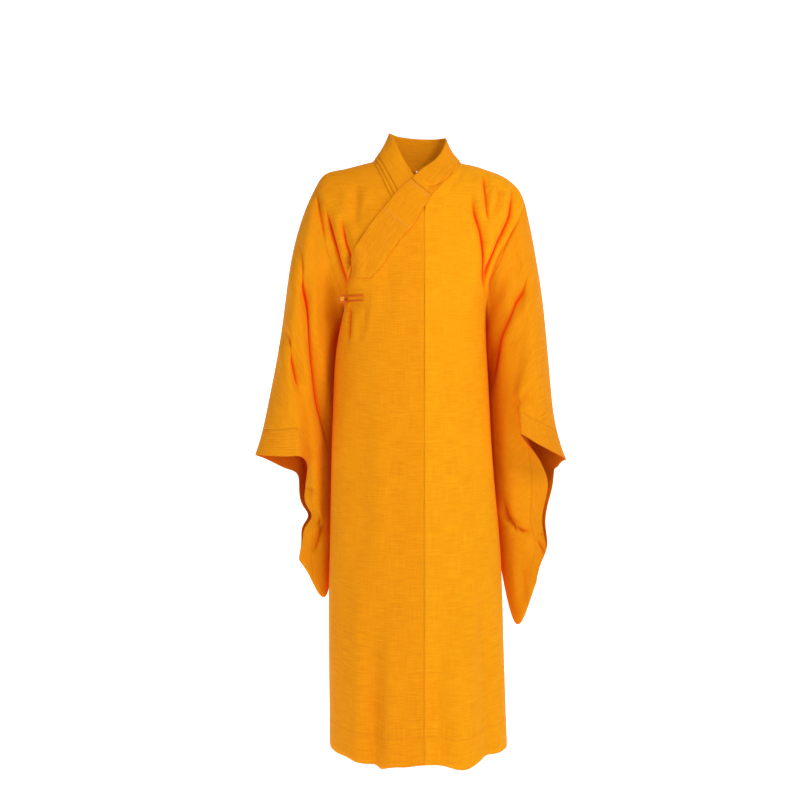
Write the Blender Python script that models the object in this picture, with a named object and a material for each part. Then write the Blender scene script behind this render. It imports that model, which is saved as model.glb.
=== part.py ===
"""A Buddhist monk's robe with wide sleeves, worn and closed, hollow and open at neck, hem and cuffs.

Metres, +Z up. The front of the robe faces -Y, so the wearer's left is +X. The origin is the middle
of the shoulder line at the base of the neck, where the wearer carries the robe. The robe is cut
as two body halves over the shoulders, with a crossing panel sewn on at the centre front, wide
sleeves with stitched bands, and a collar band that runs on down the crossing edge as a lapel.
"""

import math
from collections import namedtuple

import bmesh
import bpy
import numpy as np
from mathutils import Vector

# Cloth thicknesses and the small gaps between sewn pieces
CLOTH = 0.0018
HEM_CLOTH = 0.0026
LAPEL_CLOTH = 0.0024
COLLAR_CLOTH = 0.0010
SEAM_GAP = 0.0003
TUBE_GAP = 0.0020

# Main heights and lengths
UNDERARM_Z = -0.290
HEM_SIDE_Z = -1.256
HEM_CENTRE_DROP = 0.021
HEM_DEPTH = 0.062
CENTRE_FRONT_X = 0.014
COLLAR_WIDTH = 0.065
COLLAR_STEP = 0.008

# Half the distance between the two layers at a sleeve's bottom seam
LOW_FOLD_RADIUS = 0.008

# Least distance from the body to a sleeve that hangs beside it
SLEEVE_CLEARANCE = 0.006

# The right front lies under the overlap: this much nearer the body in front and at the side
UNDER_FRONT = 0.012
UNDER_SIDE = 0.005

# Roundness of the body's sections: 2 is an ellipse, more is squarer
ROUNDNESS = 2.3

# Mesh spacing
ACROSS = 10
UP_SKIRT = 15
UP_OVERLAP = 12
SPAN_STEPS = 3
RING_STEPS = 2
SOFTEN_PASSES = 3

FRONT = -1.0
BACK = 1.0

Section = namedtuple("Section", "z left right front back")
BODY_SECTIONS = [
    Section(z=-1.280, left=0.198, right=0.190, front=0.128, back=0.128),
    Section(z=-1.150, left=0.194, right=0.191, front=0.126, back=0.127),
    Section(z=-1.000, left=0.190, right=0.194, front=0.124, back=0.126),
    Section(z=-0.900, left=0.187, right=0.193, front=0.122, back=0.125),
    Section(z=-0.800, left=0.180, right=0.189, front=0.120, back=0.123),
    Section(z=-0.700, left=0.170, right=0.187, front=0.118, back=0.119),
    Section(z=-0.620, left=0.163, right=0.185, front=0.117, back=0.115),
    Section(z=-0.500, left=0.157, right=0.182, front=0.116, back=0.110),
    Section(z=-0.370, left=0.152, right=0.177, front=0.117, back=0.107),
    Section(z=-0.290, left=0.150, right=0.161, front=0.118, back=0.107),
    Section(z=-0.250, left=0.178, right=0.184, front=0.118, back=0.107),
    Section(z=-0.205, left=0.212, right=0.214, front=0.118, back=0.107),
    Section(z=-0.143, left=0.250, right=0.246, front=0.118, back=0.106),
    Section(z=-0.100, left=0.270, right=0.266, front=0.118, back=0.105),
    Section(z=-0.050, left=0.285, right=0.285, front=0.118, back=0.104),
    Section(z=0.060, left=0.300, right=0.300, front=0.118, back=0.104),
]

# Height of the shoulder line above each distance from the middle
Shoulder = namedtuple("Shoulder", "x left right")
SHOULDER_LINE = [
    Shoulder(x=0.000, left=0.050, right=0.050),
    Shoulder(x=0.050, left=0.040, right=0.041),
    Shoulder(x=0.095, left=0.018, right=0.022),
    Shoulder(x=0.125, left=0.012, right=0.014),
    Shoulder(x=0.154, left=0.001, right=0.007),
    Shoulder(x=0.185, left=-0.010, right=0.001),
    Shoulder(x=0.205, left=-0.021, right=-0.007),
    Shoulder(x=0.218, left=-0.034, right=-0.020),
    Shoulder(x=0.236, left=-0.053, right=-0.052),
    Shoulder(x=0.300, left=-0.150, right=-0.170),
]

# Edges of the upper body panels, as (x, z) from the underarm level up to the shoulder line
ARMHOLE_LEFT = [(0.150, -0.290), (0.158, -0.256), (0.173, -0.205), (0.204, -0.143), (0.226, -0.097), (0.236, -0.053)]
ARMHOLE_RIGHT = [(-0.156, -0.290), (-0.167, -0.255), (-0.184, -0.205), (-0.204, -0.130), (-0.216, -0.075), (-0.218, -0.020)]
NECK_LEFT = [(0.014, -0.290), (0.014, -0.190), (0.014, -0.088), (0.045, -0.044), (0.062, -0.016), (0.095, 0.018)]
NECK_RIGHT = [(0.050, -0.290), (0.020, -0.190), (-0.024, -0.110), (-0.048, -0.062), (-0.069, -0.018), (-0.095, 0.022)]
NECK_BACK_LEFT = [(0.000, -0.290), (0.000, -0.150), (0.000, 0.011), (0.050, 0.012), (0.078, 0.016), (0.095, 0.018)]
NECK_BACK_RIGHT = [(0.000, -0.290), (0.000, -0.150), (0.000, 0.011), (-0.050, 0.012), (-0.078, 0.018), (-0.095, 0.022)]
SHOULDER_LEFT = [(0.095, 0.018), (0.125, 0.012), (0.154, 0.001), (0.185, -0.010), (0.218, -0.034), (0.236, -0.053)]
SHOULDER_RIGHT = [(-0.095, 0.022), (-0.125, 0.014), (-0.154, 0.007), (-0.185, 0.001), (-0.205, -0.007), (-0.218, -0.020)]

# Edges of the crossing panel above the underarm level
OVERLAP_FRONT = [(0.014, -0.290), (0.014, -0.220), (0.014, -0.150), (0.014, -0.088)]
OVERLAP_DIAGONAL = [(-0.150, -0.290), (-0.149, -0.238), (-0.138, -0.198), (-0.117, -0.160),
                    (-0.092, -0.123), (-0.063, -0.086), (-0.036, -0.052), (-0.016, -0.034)]
OVERLAP_TOP = [(0.014, -0.088), (-0.016, -0.034)]
# How far in front of the side line the crossing panel's free edge runs, by height
OVERLAP_SIDE_Y = [(-1.300, 0.004), (-0.600, 0.006), (-0.450, 0.012), (-0.290, 0.046)]

Panel = namedtuple("Panel", "name face side start_x under neck armhole shoulder")
BODY_PANELS = [
    Panel("front_left", FRONT, 1, CENTRE_FRONT_X, 0, NECK_LEFT, ARMHOLE_LEFT, SHOULDER_LEFT),
    Panel("back_left", BACK, 1, 0.0, 0, NECK_BACK_LEFT, ARMHOLE_LEFT, SHOULDER_LEFT),
    Panel("front_right", FRONT, -1, 0.050, 1, NECK_RIGHT, ARMHOLE_RIGHT, SHOULDER_RIGHT),
    Panel("back_right", BACK, -1, 0.0, 1, NECK_BACK_RIGHT, ARMHOLE_RIGHT, SHOULDER_RIGHT),
]

# One row for each section of a sleeve after the armhole, down to the cuff edge. top is the fold
# over the arm, flap the front cloth's inner turn, tuck where it goes behind, low the bottom seam
# and heel the middle of the back layer. All (x, y, z).
Ring = namedtuple("Ring", "top flap tuck low heel")
SLEEVE_RIGHT = [
    Ring((-0.257, 0.000, -0.101), (-0.227, -0.060, -0.189), (-0.212, -0.060, -0.232), (-0.199, -0.004, -0.352), (-0.230, 0.058, -0.255)),
    Ring((-0.280, 0.004, -0.193), (-0.240, -0.062, -0.286), (-0.221, -0.060, -0.340), (-0.179, 0.045, -0.502), (-0.246, 0.062, -0.367)),
    Ring((-0.291, 0.004, -0.275), (-0.255, -0.064, -0.362), (-0.234, -0.056, -0.415), (-0.182, 0.050, -0.616), (-0.255, 0.062, -0.468)),
    Ring((-0.299, 0.000, -0.352), (-0.265, -0.068, -0.428), (-0.234, -0.052, -0.475), (-0.185, 0.050, -0.740), (-0.257, 0.060, -0.546)),
    Ring((-0.314, -0.008, -0.436), (-0.259, -0.072, -0.476), (-0.228, -0.046, -0.530), (-0.191, 0.047, -0.854), (-0.257, 0.055, -0.600)),
    Ring((-0.326, -0.018, -0.506), (-0.252, -0.074, -0.512), (-0.226, -0.036, -0.580), (-0.202, 0.038, -0.949), (-0.254, 0.046, -0.631)),
    Ring((-0.338, -0.026, -0.567), (-0.248, -0.074, -0.560), (-0.229, -0.024, -0.625), (-0.229, 0.022, -0.903), (-0.253, 0.036, -0.644)),
    Ring((-0.353, -0.032, -0.621), (-0.246, -0.070, -0.624), (-0.239, -0.012, -0.655), (-0.255, 0.010, -0.845), (-0.259, 0.024, -0.672)),
]
SLEEVE_LEFT = [
    Ring((0.257, 0.000, -0.147), (0.211, -0.060, -0.204), (0.189, -0.058, -0.253), (0.167, -0.004, -0.356), (0.214, 0.058, -0.255)),
    Ring((0.275, 0.004, -0.246), (0.223, -0.062, -0.308), (0.202, -0.058, -0.361), (0.154, 0.045, -0.513), (0.223, 0.062, -0.378)),
    Ring((0.282, 0.004, -0.317), (0.230, -0.064, -0.372), (0.203, -0.052, -0.426), (0.159, 0.050, -0.623), (0.230, 0.062, -0.479)),
    Ring((0.288, 0.000, -0.381), (0.229, -0.068, -0.420), (0.199, -0.044, -0.480), (0.170, 0.050, -0.740), (0.234, 0.060, -0.569)),
    Ring((0.293, -0.008, -0.447), (0.220, -0.072, -0.454), (0.200, -0.034, -0.528), (0.191, 0.045, -0.876), (0.243, 0.055, -0.618)),
    Ring((0.297, -0.018, -0.513), (0.212, -0.075, -0.487), (0.218, -0.026, -0.567), (0.219, 0.034, -1.017), (0.255, 0.046, -0.636)),
    Ring((0.305, -0.026, -0.569), (0.210, -0.077, -0.521), (0.249, -0.018, -0.611), (0.245, 0.020, -0.955), (0.276, 0.036, -0.642)),
    Ring((0.323, -0.032, -0.630), (0.218, -0.077, -0.575), (0.280, -0.012, -0.657), (0.264, 0.010, -0.894), (0.299, 0.024, -0.666)),
]
CUFF_RING = 7
LAST_RING = 8

# The largest folds, each along an (x, z) path. depth is how far the cloth sinks, and a negative
# depth is a raised fold. face is FRONT or BACK, part the cloth that it runs over.
Fold = namedtuple("Fold", "face depth width path")
YOKE_FOLDS = [
    Fold(FRONT, 0.009, 0.012, [(0.205, -0.050), (0.200, -0.120), (0.178, -0.170), (0.159, -0.230), (0.150, -0.300)]),
    Fold(FRONT, 0.007, 0.012, [(0.120, -0.045), (0.130, -0.090), (0.141, -0.140), (0.147, -0.240)]),
    Fold(FRONT, 0.009, 0.014, [(0.250, -0.205), (0.232, -0.249), (0.206, -0.301), (0.180, -0.370), (0.170, -0.440)]),
    Fold(FRONT, 0.010, 0.012, [(-0.204, -0.073), (-0.193, -0.114), (-0.180, -0.174), (-0.166, -0.235)]),
    Fold(FRONT, 0.008, 0.012, [(-0.163, -0.090), (-0.157, -0.150), (-0.147, -0.205)]),
    Fold(FRONT, 0.009, 0.012, [(-0.257, -0.128), (-0.250, -0.218), (-0.240, -0.290), (-0.230, -0.361), (-0.221, -0.438), (-0.212, -0.540), (-0.203, -0.640)]),
    Fold(BACK, 0.009, 0.014, [(0.196, -0.060), (0.180, -0.140), (0.162, -0.220), (0.153, -0.300)]),
    Fold(BACK, 0.009, 0.014, [(-0.198, -0.060), (-0.186, -0.140), (-0.170, -0.220), (-0.160, -0.300)]),
    Fold(BACK, 0.008, 0.014, [(0.250, -0.200), (0.232, -0.300), (0.216, -0.420), (0.208, -0.560)]),
    Fold(BACK, 0.008, 0.014, [(-0.264, -0.200), (-0.250, -0.300), (-0.236, -0.430), (-0.228, -0.580)]),
]
SKIRT_FOLDS = [
    Fold(FRONT, -0.010, 0.030, [(-0.058, -0.900), (-0.060, -1.100), (-0.062, -1.300)]),
    Fold(FRONT, 0.012, 0.020, [(-0.088, -0.980), (-0.088, -1.120), (-0.088, -1.300)]),
    Fold(FRONT, 0.010, 0.024, [(0.034, -0.950), (0.040, -1.100), (0.050, -1.300)]),
    Fold(FRONT, -0.010, 0.030, [(0.088, -0.900), (0.094, -1.100), (0.100, -1.300)]),
    Fold(FRONT, 0.009, 0.020, [(0.140, -0.850), (0.150, -1.100), (0.158, -1.300)]),
    Fold(FRONT, -0.007, 0.022, [(-0.120, -0.800), (-0.124, -1.100), (-0.128, -1.300)]),
    Fold(BACK, 0.012, 0.022, [(0.060, -0.560), (0.066, -0.900), (0.070, -1.300)]),
    Fold(BACK, 0.011, 0.022, [(-0.072, -0.640), (-0.078, -0.950), (-0.084, -1.300)]),
    Fold(BACK, -0.010, 0.028, [(0.000, -0.600), (-0.004, -0.950), (-0.008, -1.300)]),
    Fold(BACK, -0.010, 0.026, [(0.122, -0.620), (0.128, -0.950), (0.134, -1.300)]),
    Fold(BACK, -0.009, 0.026, [(-0.130, -0.560), (-0.136, -0.950), (-0.142, -1.300)]),
]
FOLD_FADE = 0.045

# Stations of the collar band, from its end under the lapel, round the back of the neck, to the
# cross line where the lapel begins. lie is 1 where the band lies flat on the front.
Station = namedtuple("Station", "face base top lie")
COLLAR_STATIONS = [
    Station(FRONT, (-0.030, -0.120), (0.026, -0.065, -0.090), 1.0),
    Station(FRONT, (-0.043, -0.093), (0.014, -0.065, -0.064), 1.0),
    Station(FRONT, (-0.056, -0.066), (0.002, -0.065, -0.037), 1.0),
    Station(FRONT, (-0.067, -0.043), (-0.009, -0.062, -0.016), 1.0),
    Station(FRONT, (-0.077, -0.020), (-0.022, -0.056, 0.006), 0.7),
    Station(FRONT, (-0.087, 0.002), (-0.036, -0.046, 0.034), 0.2),
    Station(FRONT, (-0.097, 0.020), (-0.050, -0.026, 0.068), 0.0),
    Station(BACK, (-0.084, 0.018), (-0.058, 0.006, 0.086), 0.0),
    Station(BACK, (-0.050, 0.012), (-0.042, 0.036, 0.085), 0.0),
    Station(BACK, (0.000, 0.011), (0.001, 0.048, 0.082), 0.0),
    Station(BACK, (0.050, 0.012), (0.044, 0.036, 0.079), 0.0),
    Station(BACK, (0.084, 0.016), (0.061, 0.006, 0.074), 0.0),
    Station(FRONT, (0.096, 0.016), (0.057, -0.020, 0.052), 0.0),
    Station(FRONT, (0.083, 0.001), (0.046, -0.040, 0.028), 0.0),
    Station(FRONT, (0.068, -0.017), (0.030, -0.052, 0.011), 0.2),
    Station(FRONT, (0.055, -0.034), (0.012, -0.060, -0.002), 0.6),
    Station(FRONT, (0.042, -0.050), (-0.001, -0.064, -0.014), 1.0),
    Station(FRONT, (0.030, -0.064), (-0.013, -0.066, -0.028), 1.0),
]
# The layers' steps close up between these shares of the band, on the wearer's left shoulder
COLLAR_LEFT_STEP = 0.0025
STEP_NARROWS = 0.52
STEP_NARROWING = 0.14
COLLAR_LENGTHS = 3
COLLAR_LIFT = 0.0016

# Outer and inner edge of the lapel band, from the cross line down to the knotted button
LAPEL_OUTER = [(-0.0135, -0.0285), (-0.037, -0.049), (-0.066, -0.084), (-0.095, -0.121), (-0.120, -0.158), (-0.141, -0.197), (-0.154, -0.236)]
LAPEL_INNER = [(0.0295, -0.0645), (0.010, -0.098), (-0.009, -0.130), (-0.038, -0.163), (-0.058, -0.192), (-0.077, -0.219), (-0.098, -0.243)]
LAPEL_LENGTHS = 20
LAPEL_ROWS = 4

# The knotted button, its stem to the cloth under the overlap, and the cord loop round it
KNOT_CENTRE = Vector((-0.162, -0.064, -0.284))
KNOT_RADIUS = 0.0062
STEM_END = Vector((-0.1555, -0.037, -0.284))
LOOP_CORD_RADIUS = 0.0016
LOOP_TAIL_X = -0.116
LOOP_TAIL_STEPS = 8
LOOP_ROUND_STEPS = 16
LOOP_MOUTH_ANGLE = math.radians(38)

SAFFRON = (0.93, 0.40, 0.03, 1.0)


def flow(keys, values, at, slopes=None):
    """A smooth line through the values at rising keys, read at one key."""
    keys = np.asarray(keys, dtype=float)
    values = np.asarray(values, dtype=float)
    if slopes is None:
        slopes = np.gradient(values, keys, axis=0)
    at = min(max(at, keys[0]), keys[-1])
    low = min(int(np.searchsorted(keys, at, side="right")) - 1, len(keys) - 2)
    width = keys[low + 1] - keys[low]
    t = (at - keys[low]) / width
    start = values[low] * (2 * t**3 - 3 * t**2 + 1) + slopes[low] * width * (t**3 - 2 * t**2 + t)
    end = values[low + 1] * (3 * t**2 - 2 * t**3) + slopes[low + 1] * width * (t**3 - t**2)
    return start + end


def along(points, share):
    """The point at a share of the length of a line through the points that never overshoots."""
    points = np.asarray(points, dtype=float)
    steps = np.linalg.norm(np.diff(points, axis=0), axis=1)
    keys = np.concatenate(([0.0], np.cumsum(steps))) / steps.sum()
    rises = np.diff(points, axis=0) / np.diff(keys)[:, None]
    before, after = rises[:-1], rises[1:]
    same_way = before * after > 0.0
    total = np.where(same_way, before + after, 1.0)
    middle = np.where(same_way, 2.0 * before * after / total, 0.0)
    slopes = np.vstack((rises[:1], middle, rises[-1:]))
    return flow(keys, points, share, slopes)


def closed_line(points, share):
    """The point at a share of a smooth closed line, with the points evenly spread on it."""
    points = np.asarray(points, dtype=float)
    count = len(points)
    place = share * count
    low = int(math.floor(place)) % count
    t = place - math.floor(place)
    before, here, after, beyond = (points[(low + step) % count] for step in (-1, 0, 1, 2))
    start = here * (2 * t**3 - 3 * t**2 + 1) + (after - before) * 0.5 * (t**3 - 2 * t**2 + t)
    end = after * (3 * t**2 - 2 * t**3) + (beyond - here) * 0.5 * (t**3 - t**2)
    return start + end


def ease(value):
    value = min(max(value, 0.0), 1.0)
    return value * value * (3.0 - 2.0 * value)


def body_size(z, face, side, under):
    """Half width and depth of the body's section at a height."""
    row = flow([s.z for s in BODY_SECTIONS], [s[1:] for s in BODY_SECTIONS], z)
    half = row[0] if side > 0 else row[1] - UNDER_SIDE * under
    depth = row[2] if face == FRONT else row[3]
    if face == FRONT:
        depth -= UNDER_FRONT * under
    return half, depth


def shoulder_height(x):
    keys = [s.x for s in SHOULDER_LINE]
    heights = [s.left if x > 0 else s.right for s in SHOULDER_LINE]
    return flow(keys, heights, abs(x))


def surface_y(x, z, face, under=0):
    """Depth of the body's front or back surface above the point (x, z)."""
    half, depth = body_size(z, face, 1 if x > 0 else -1, under)
    across = max(0.0, 1.0 - (abs(x) / half) ** ROUNDNESS) ** (1.0 / ROUNDNESS)
    top = shoulder_height(x)
    drop = min(max((top - z) / (top - UNDERARM_Z), 0.0), 1.0)
    return face * depth * across * math.sqrt(1.0 - (1.0 - drop) ** 2)


def distance_along(path, x, z):
    """Distance from a path, and how far inside its ends the nearest point is."""
    best = (1.0, 0.0)
    total = sum(math.dist(a, b) for a, b in zip(path, path[1:]))
    walked = 0.0
    for (ax, az), (bx, bz) in zip(path, path[1:]):
        length = math.dist((ax, az), (bx, bz))
        share = ((x - ax) * (bx - ax) + (z - az) * (bz - az)) / length**2
        share = min(max(share, 0.0), 1.0)
        gap = math.dist((x, z), (ax + share * (bx - ax), az + share * (bz - az)))
        if gap < best[0]:
            inside = walked + share * length
            best = (gap, min(inside, total - inside))
        walked += length
    return best


def fold_depth(x, z, face, folds):
    """How far the cloth sinks at (x, z), from every one of the folds on that face."""
    depth = 0.0
    for fold in folds:
        if fold.face != face:
            continue
        gap, inside = distance_along(fold.path, x, z)
        reaches_hem = fold.path[-1][1] < HEM_SIDE_Z and z < fold.path[1][1]
        fade = 1.0 if reaches_hem else ease(inside / FOLD_FADE)
        depth += fold.depth * fade * math.exp(-((gap / fold.width) ** 2))
    return depth


def folded(point, face, folds):
    """The point moved in or out by the folds. They fade out towards the sides."""
    x, y, z = point
    reach = ease(abs(y) / 0.05)
    return np.array((x, y - face * fold_depth(x, z, face, folds) * reach, z))


def hem_height(angle):
    return HEM_SIDE_Z - HEM_CENTRE_DROP * abs(math.sin(angle)) ** 1.5


def section_angle(x, half):
    """Angle round a section of half width half at which it passes x."""
    return math.acos(math.copysign(min(abs(x) / half, 1.0) ** (ROUNDNESS / 2.0), x))


def section_point(angle, z, face, under):
    c = math.cos(angle)
    s = math.sin(angle)
    half, depth = body_size(z, face, 1 if c > 0 else -1, under)
    x = half * math.copysign(abs(c) ** (2.0 / ROUNDNESS), c)
    return np.array((x, face * depth * abs(s) ** (2.0 / ROUNDNESS), z))


def skirt_point(panel, u, v):
    """A body panel below the underarm: u from the middle to the side, v from the hem up."""
    end = 0.0 if panel.side > 0 else math.pi
    level = HEM_SIDE_Z + (UNDERARM_Z - HEM_SIDE_Z) * v
    half = body_size(level, panel.face, 1 if panel.start_x > 0 else panel.side, panel.under)[0]
    start = section_angle(panel.start_x, half)
    angle = start + (end - start) * u
    z = hem_height(angle) + (UNDERARM_Z - hem_height(angle)) * v
    return section_point(angle, z, panel.face, panel.under)


def patch_point(bottom, top, inner, outer, u, v):
    """A point inside four edges, given the points of the edges at u and v."""
    low = bottom(0.0) * (1 - u) * (1 - v) + bottom(1.0) * u * (1 - v)
    high = top(0.0) * (1 - u) * v + top(1.0) * u * v
    return bottom(u) * (1 - v) + top(u) * v + inner(v) * (1 - u) + outer(v) * u - low - high


def yoke_point(panel, u, w):
    """A body panel above the underarm: w from the underarm level up to the shoulder line."""
    v = math.sin(w * math.pi / 2.0)

    def bottom(share):
        p = skirt_point(panel, share, 1.0)
        return np.array((p[0], p[2]))

    x, z = patch_point(
        bottom,
        lambda share: along(panel.shoulder, share),
        lambda share: along(panel.neck, share),
        lambda share: along(panel.armhole, share),
        u,
        v,
    )
    y = surface_y(x, z, panel.face, panel.under) if w < 1.0 else 0.0
    if w == 0.0:
        y = skirt_point(panel, u, 1.0)[1]
    if w == 0.0 and u == 1.0:
        y = 0.0
    return np.array((x, y, z))


def body_point(panel, u, v):
    """v from 0 at the hem to 1 at the underarm level and 2 at the shoulder line."""
    point = skirt_point(panel, u, v) if v <= 1.0 else yoke_point(panel, u, v - 1.0)
    return folded(point, panel.face, YOKE_FOLDS + SKIRT_FOLDS)


def ring_line(ring, share):
    """A sleeve section: the front layer from the top fold to the low seam, then the back layer."""
    top, flap, tuck, low, heel = (np.array(p) for p in ring)

    def between(a, b, part, y_part):
        p = a + (b - a) * part
        p[1] = a[1] + (b[1] - a[1]) * y_part
        return p

    round_low = np.array((0.0, LOW_FOLD_RADIUS, 0.0))
    points = [
        top,
        between(top, flap, 0.30, 0.80),
        between(top, flap, 0.68, 1.10),
        flap,
        tuck,
        between(tuck, low, 0.50, 0.45),
        low - round_low,
        low + round_low,
        between(low, heel, 0.50, 0.90),
        heel,
        between(heel, top, 0.40, -0.05),
        between(heel, top, 0.80, 0.30),
    ]
    seam = 6.5 / len(points)
    place = share * 2.0 * seam if share <= 0.5 else seam + (share - 0.5) * 2.0 * (1.0 - seam)
    return closed_line(points, place)


def armhole_line(front, back, share):
    """The armhole as the sleeve's first section, read from the edges of the body panels."""
    if share <= 0.5:
        return body_point(front, 1.0, 2.0 - share * 2.0)
    return body_point(back, 1.0, share * 2.0)


def clear_of_body(point):
    """Holds a sleeve's point outside the body's section, from a little below the underarm."""
    x, y, z = point
    side = 1 if x > 0 else -1
    face = FRONT if y < 0 else BACK
    reach = ease((UNDERARM_Z - z) / 0.06)
    if reach <= 0.0:
        return point
    half, depth = body_size(z, face, side, 0)
    edge = half * max(0.0, 1.0 - min(abs(y) / depth, 1.0) ** ROUNDNESS) ** (1.0 / ROUNDNESS)
    nearest = (edge + SLEEVE_CLEARANCE) * reach
    return np.array((side * max(abs(x), nearest), y, z))


def sleeve_point(rings, front, back, share, place):
    """share goes round the sleeve, place from 0 at the armhole to LAST_RING at the cuff edge."""
    first = armhole_line(front, back, share)
    lines = [first] + [ring_line(ring, share) for ring in rings]
    point = flow(range(len(lines)), lines, place)
    if place > 0:
        face = FRONT if share <= 0.5 else BACK
        edge = min(share, abs(share - 0.5), 1.0 - share)
        sink = fold_depth(point[0], point[2], face, YOKE_FOLDS) * ease(edge / 0.08) * ease(place / 1.0)
        point = point - np.array((0.0, face * sink, 0.0))
        point = clear_of_body(point)
    return point


def add_sheet(cloth, point_at, across, up, tag):
    """Adds a grid of across by up quads to the cloth, its corners placed by point_at(u, v)."""
    grid = bmesh.ops.create_grid(cloth, x_segments=across, y_segments=up, size=0.5)
    for vert in grid["verts"]:
        u = round((vert.co.x + 0.5) * across) / across
        v = round((vert.co.y + 0.5) * up) / up
        vert.co = Vector(point_at(u, v))
    for face in {f for v in grid["verts"] for f in v.link_faces}:
        face.material_index = tag
        face.smooth = True


def joined_cloth():
    """The body and both sleeves as one open sheet, each panel's faces tagged."""
    cloth = bmesh.new()
    rows = 2 * SPAN_STEPS * 3
    tags = []
    for panel in BODY_PANELS:
        tag = len(tags)
        tags.append(panel.name)
        add_sheet(cloth, lambda u, v, p=panel: body_point(p, u, v), ACROSS, UP_SKIRT, tag)
        add_sheet(cloth, lambda u, v, p=panel: body_point(p, u, 1.0 + v), ACROSS, rows, tag)
    left, back_left, right, back_right = BODY_PANELS
    for side, rings, front, back in (("left", SLEEVE_LEFT, left, back_left), ("right", SLEEVE_RIGHT, right, back_right)):
        def place(share, ring, r=rings, f=front, b=back):
            return sleeve_point(r, f, b, share, ring)

        tag = len(tags)
        tags.extend(["sleeve_" + side, "cuff_" + side])
        add_sheet(cloth, lambda u, v: place(u, v * CUFF_RING), rows * 2, CUFF_RING * RING_STEPS, tag)
        add_sheet(cloth, lambda u, v: place(u, CUFF_RING + v), rows * 2, RING_STEPS, tag + 1)
    bmesh.ops.remove_doubles(cloth, verts=cloth.verts, dist=0.00002)
    soften(cloth, len(BODY_PANELS))
    return cloth, tags


def soften(cloth, first_sleeve_tag):
    """Eases the sleeves' sharpest turns and the armhole seams, as cloth that bends does."""
    sleeve = {v for f in cloth.faces if f.material_index >= first_sleeve_tag for v in f.verts}
    inside = [v for v in sleeve if not v.is_boundary]
    for _ in range(SOFTEN_PASSES):
        bmesh.ops.smooth_vert(cloth, verts=inside, factor=0.5, use_axis_x=True, use_axis_y=True, use_axis_z=True)


def face_outwards(sheet, probe):
    """Turns an open sheet so that the face nearest the probe looks away from the Z axis."""
    bmesh.ops.recalc_face_normals(sheet, faces=sheet.faces)
    nearest = min(sheet.faces, key=lambda f: (f.calc_center_median() - probe).length)
    outward = Vector((0.0, probe.y, 0.0)) if probe.x == 0 else Vector((probe.x, probe.y, 0.0))
    if nearest.normal.dot(outward) < 0:
        bmesh.ops.reverse_faces(sheet, faces=sheet.faces)
    sheet.normal_update()


def mark_normals(sheet):
    """Keeps each point's direction out of the cloth, so that sewn panels share it."""
    layer = sheet.verts.layers.float_vector.new("out")
    for vert in sheet.verts:
        vert[layer] = vert.normal


def draw_in_edges(sheet, gap):
    """Moves an open sheet's edges inwards by half the gap between sewn pieces."""
    inward = {}
    for edge in sheet.edges:
        if not edge.is_boundary:
            continue
        face = edge.link_faces[0]
        first, second = edge.verts
        across = (second.co - first.co).cross(face.normal).normalized()
        if across.dot(face.calc_center_median() - first.co) < 0:
            across.negate()
        for vert in edge.verts:
            inward.setdefault(vert, []).append(across)
    for vert, ways in inward.items():
        total = ways[0] + ways[-1]
        spread = 1.0 + ways[0].dot(ways[-1]) if len(ways) > 1 else 2.0
        vert.co += total * (gap / 2.0) / max(spread, 0.5)


def make_wall(sheet, thickness_at, offset=0.0):
    """Turns an open sheet into a closed wall, centred on the sheet moved out by the offset."""
    layer = sheet.verts.layers.float_vector["out"]
    bmesh.ops.triangulate(sheet, faces=sheet.faces)
    grown = bmesh.ops.extrude_face_region(sheet, geom=sheet.faces[:], use_keep_orig=True)
    outer = {v for v in grown["geom"] if isinstance(v, bmesh.types.BMVert)}
    for vert in sheet.verts:
        half = thickness_at(vert.co) / 2.0
        vert.co += Vector(vert[layer]) * (offset + (half if vert in outer else -half))
    bmesh.ops.recalc_face_normals(sheet, faces=sheet.faces)


def saffron_cloth():
    material = bpy.data.materials.get("saffron cloth") or bpy.data.materials.new("saffron cloth")
    material.use_nodes = True
    shader = material.node_tree.nodes["Principled BSDF"]
    shader.inputs["Base Color"].default_value = SAFFRON
    shader.inputs["Roughness"].default_value = 0.85
    shader.inputs["Metallic"].default_value = 0.0
    return material


def add_object(name, bm, collection):
    mesh = bpy.data.meshes.new(name)
    for face in bm.faces:
        face.material_index = 0
    bm.to_mesh(mesh)
    bm.free()
    mesh.materials.append(saffron_cloth())
    item = bpy.data.objects.new(name, mesh)
    collection.objects.link(item)
    return item


def body_thickness(point):
    middle = abs(point.y) / 0.12
    hem_line = HEM_SIDE_Z - HEM_CENTRE_DROP * min(middle, 1.0) ** 1.5 + HEM_DEPTH
    return HEM_CLOTH if point.z < hem_line else CLOTH


def add_body_and_sleeves(collection):
    cloth, tags = joined_cloth()
    face_outwards(cloth, Vector((0.08, -0.11, -0.6)))
    mark_normals(cloth)
    for tag, name in enumerate(tags):
        panel = cloth.copy()
        others = [f for f in panel.faces if f.material_index != tag]
        bmesh.ops.delete(panel, geom=others, context="FACES")
        draw_in_edges(panel, TUBE_GAP if name.startswith("sleeve") else SEAM_GAP)
        make_wall(panel, body_thickness)
        add_object(name, panel, collection)
    cloth.free()


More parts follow.
